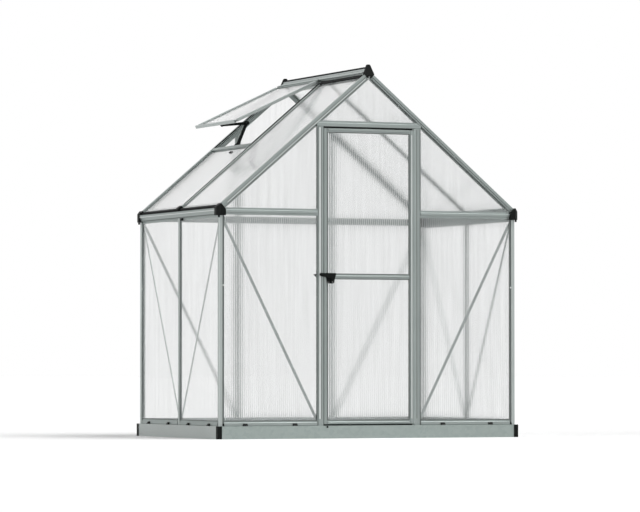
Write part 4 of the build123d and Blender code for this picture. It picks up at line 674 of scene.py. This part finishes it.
def seen_directly(tree):
    """1 for rays from the camera and for what metal or clear sheet shows, 0 for light."""
    path = node(tree, "ShaderNodeLightPath")
    total = path.outputs["Is Camera Ray"]
    for kind in ("Is Glossy Ray", "Is Transmission Ray"):
        sum_of = node(tree, "ShaderNodeMath", operation="ADD", use_clamp=True)
        tree.links.new(total, sum_of.inputs[0])
        tree.links.new(path.outputs[kind], sum_of.inputs[1])
        total = sum_of.outputs["Value"]
    return total


def white_studio():
    """A white surround, dimmer as light than as background."""
    world = bpy.data.worlds.new("white_studio")
    bpy.context.scene.world = world
    world.use_nodes = True
    tree = world.node_tree
    light = tree.nodes["Background"]
    light.inputs["Color"].default_value = WHITE
    light.inputs["Strength"].default_value = 0.3
    backdrop = node(tree, "ShaderNodeBackground")
    backdrop.inputs["Color"].default_value = WHITE
    mix = node(tree, "ShaderNodeMixShader")
    tree.links.new(seen_directly(tree), mix.inputs["Fac"])
    tree.links.new(light.outputs["Background"], mix.inputs[1])
    tree.links.new(backdrop.outputs["Background"], mix.inputs[2])
    tree.links.new(mix.outputs["Shader"], tree.nodes["World Output"].inputs["Surface"])


def pale_floor():
    """A wide matt floor that keeps the shadow and meets the white surround."""
    shape = bmesh.new()
    bmesh.ops.create_grid(shape, x_segments=1, y_segments=1, size=120)
    mesh = bpy.data.meshes.new("floor")
    shape.to_mesh(mesh)
    shape.free()
    floor = bpy.data.objects.new("floor", mesh)
    bpy.context.scene.collection.objects.link(floor)
    material = bpy.data.materials.new("floor_paint")
    material.use_nodes = True
    tree = material.node_tree
    tree.nodes.remove(tree.nodes["Principled BSDF"])
    matt = node(tree, "ShaderNodeBsdfDiffuse")
    matt.inputs["Color"].default_value = FLOOR_COLOUR
    lift = node(tree, "ShaderNodeEmission")
    strength = spread(tree, seen_directly(tree), low=0, high=0.09)
    tree.links.new(strength, lift.inputs["Strength"])
    total = node(tree, "ShaderNodeAddShader")
    tree.links.new(matt.outputs["BSDF"], total.inputs[0])
    tree.links.new(lift.outputs["Emission"], total.inputs[1])
    tree.links.new(total.outputs["Shader"], tree.nodes["Material Output"].inputs["Surface"])
    mesh.materials.append(material)


def soft_light(name, energy, width, come_from):
    """A wide soft light from one side."""
    lamp = bpy.data.lights.new(name, "SUN")
    lamp.energy = energy
    lamp.angle = math.radians(width)
    light = bpy.data.objects.new(name, lamp)
    light.rotation_euler = Vector(come_from).to_track_quat("Z", "Y").to_euler()
    bpy.context.scene.collection.objects.link(light)


def photo_camera():
    """A long lens from the left of the door wall, low above the ground."""
    lens = bpy.data.cameras.new("camera")
    lens.sensor_width = 36
    lens.lens = 221.53
    lens.clip_end = 300
    camera = bpy.data.objects.new("camera", lens)
    camera.location = (-9.073, -20.813, 0.40)
    camera.rotation_euler = [math.radians(a) for a in (91.614, 0, -23.471)]
    bpy.context.scene.collection.objects.link(camera)
    bpy.context.scene.camera = camera


white_studio()
pale_floor()
soft_light("key_light", energy=2.7, width=45, come_from=(0.5, -0.4, 1.0))
soft_light("fill_light", energy=1.6, width=60, come_from=(-1.0, -0.1, 0.2))
photo_camera()
bpy.context.scene.view_settings.view_transform = "Standard"
bpy.context.scene.cycles.transparent_max_bounces = 48
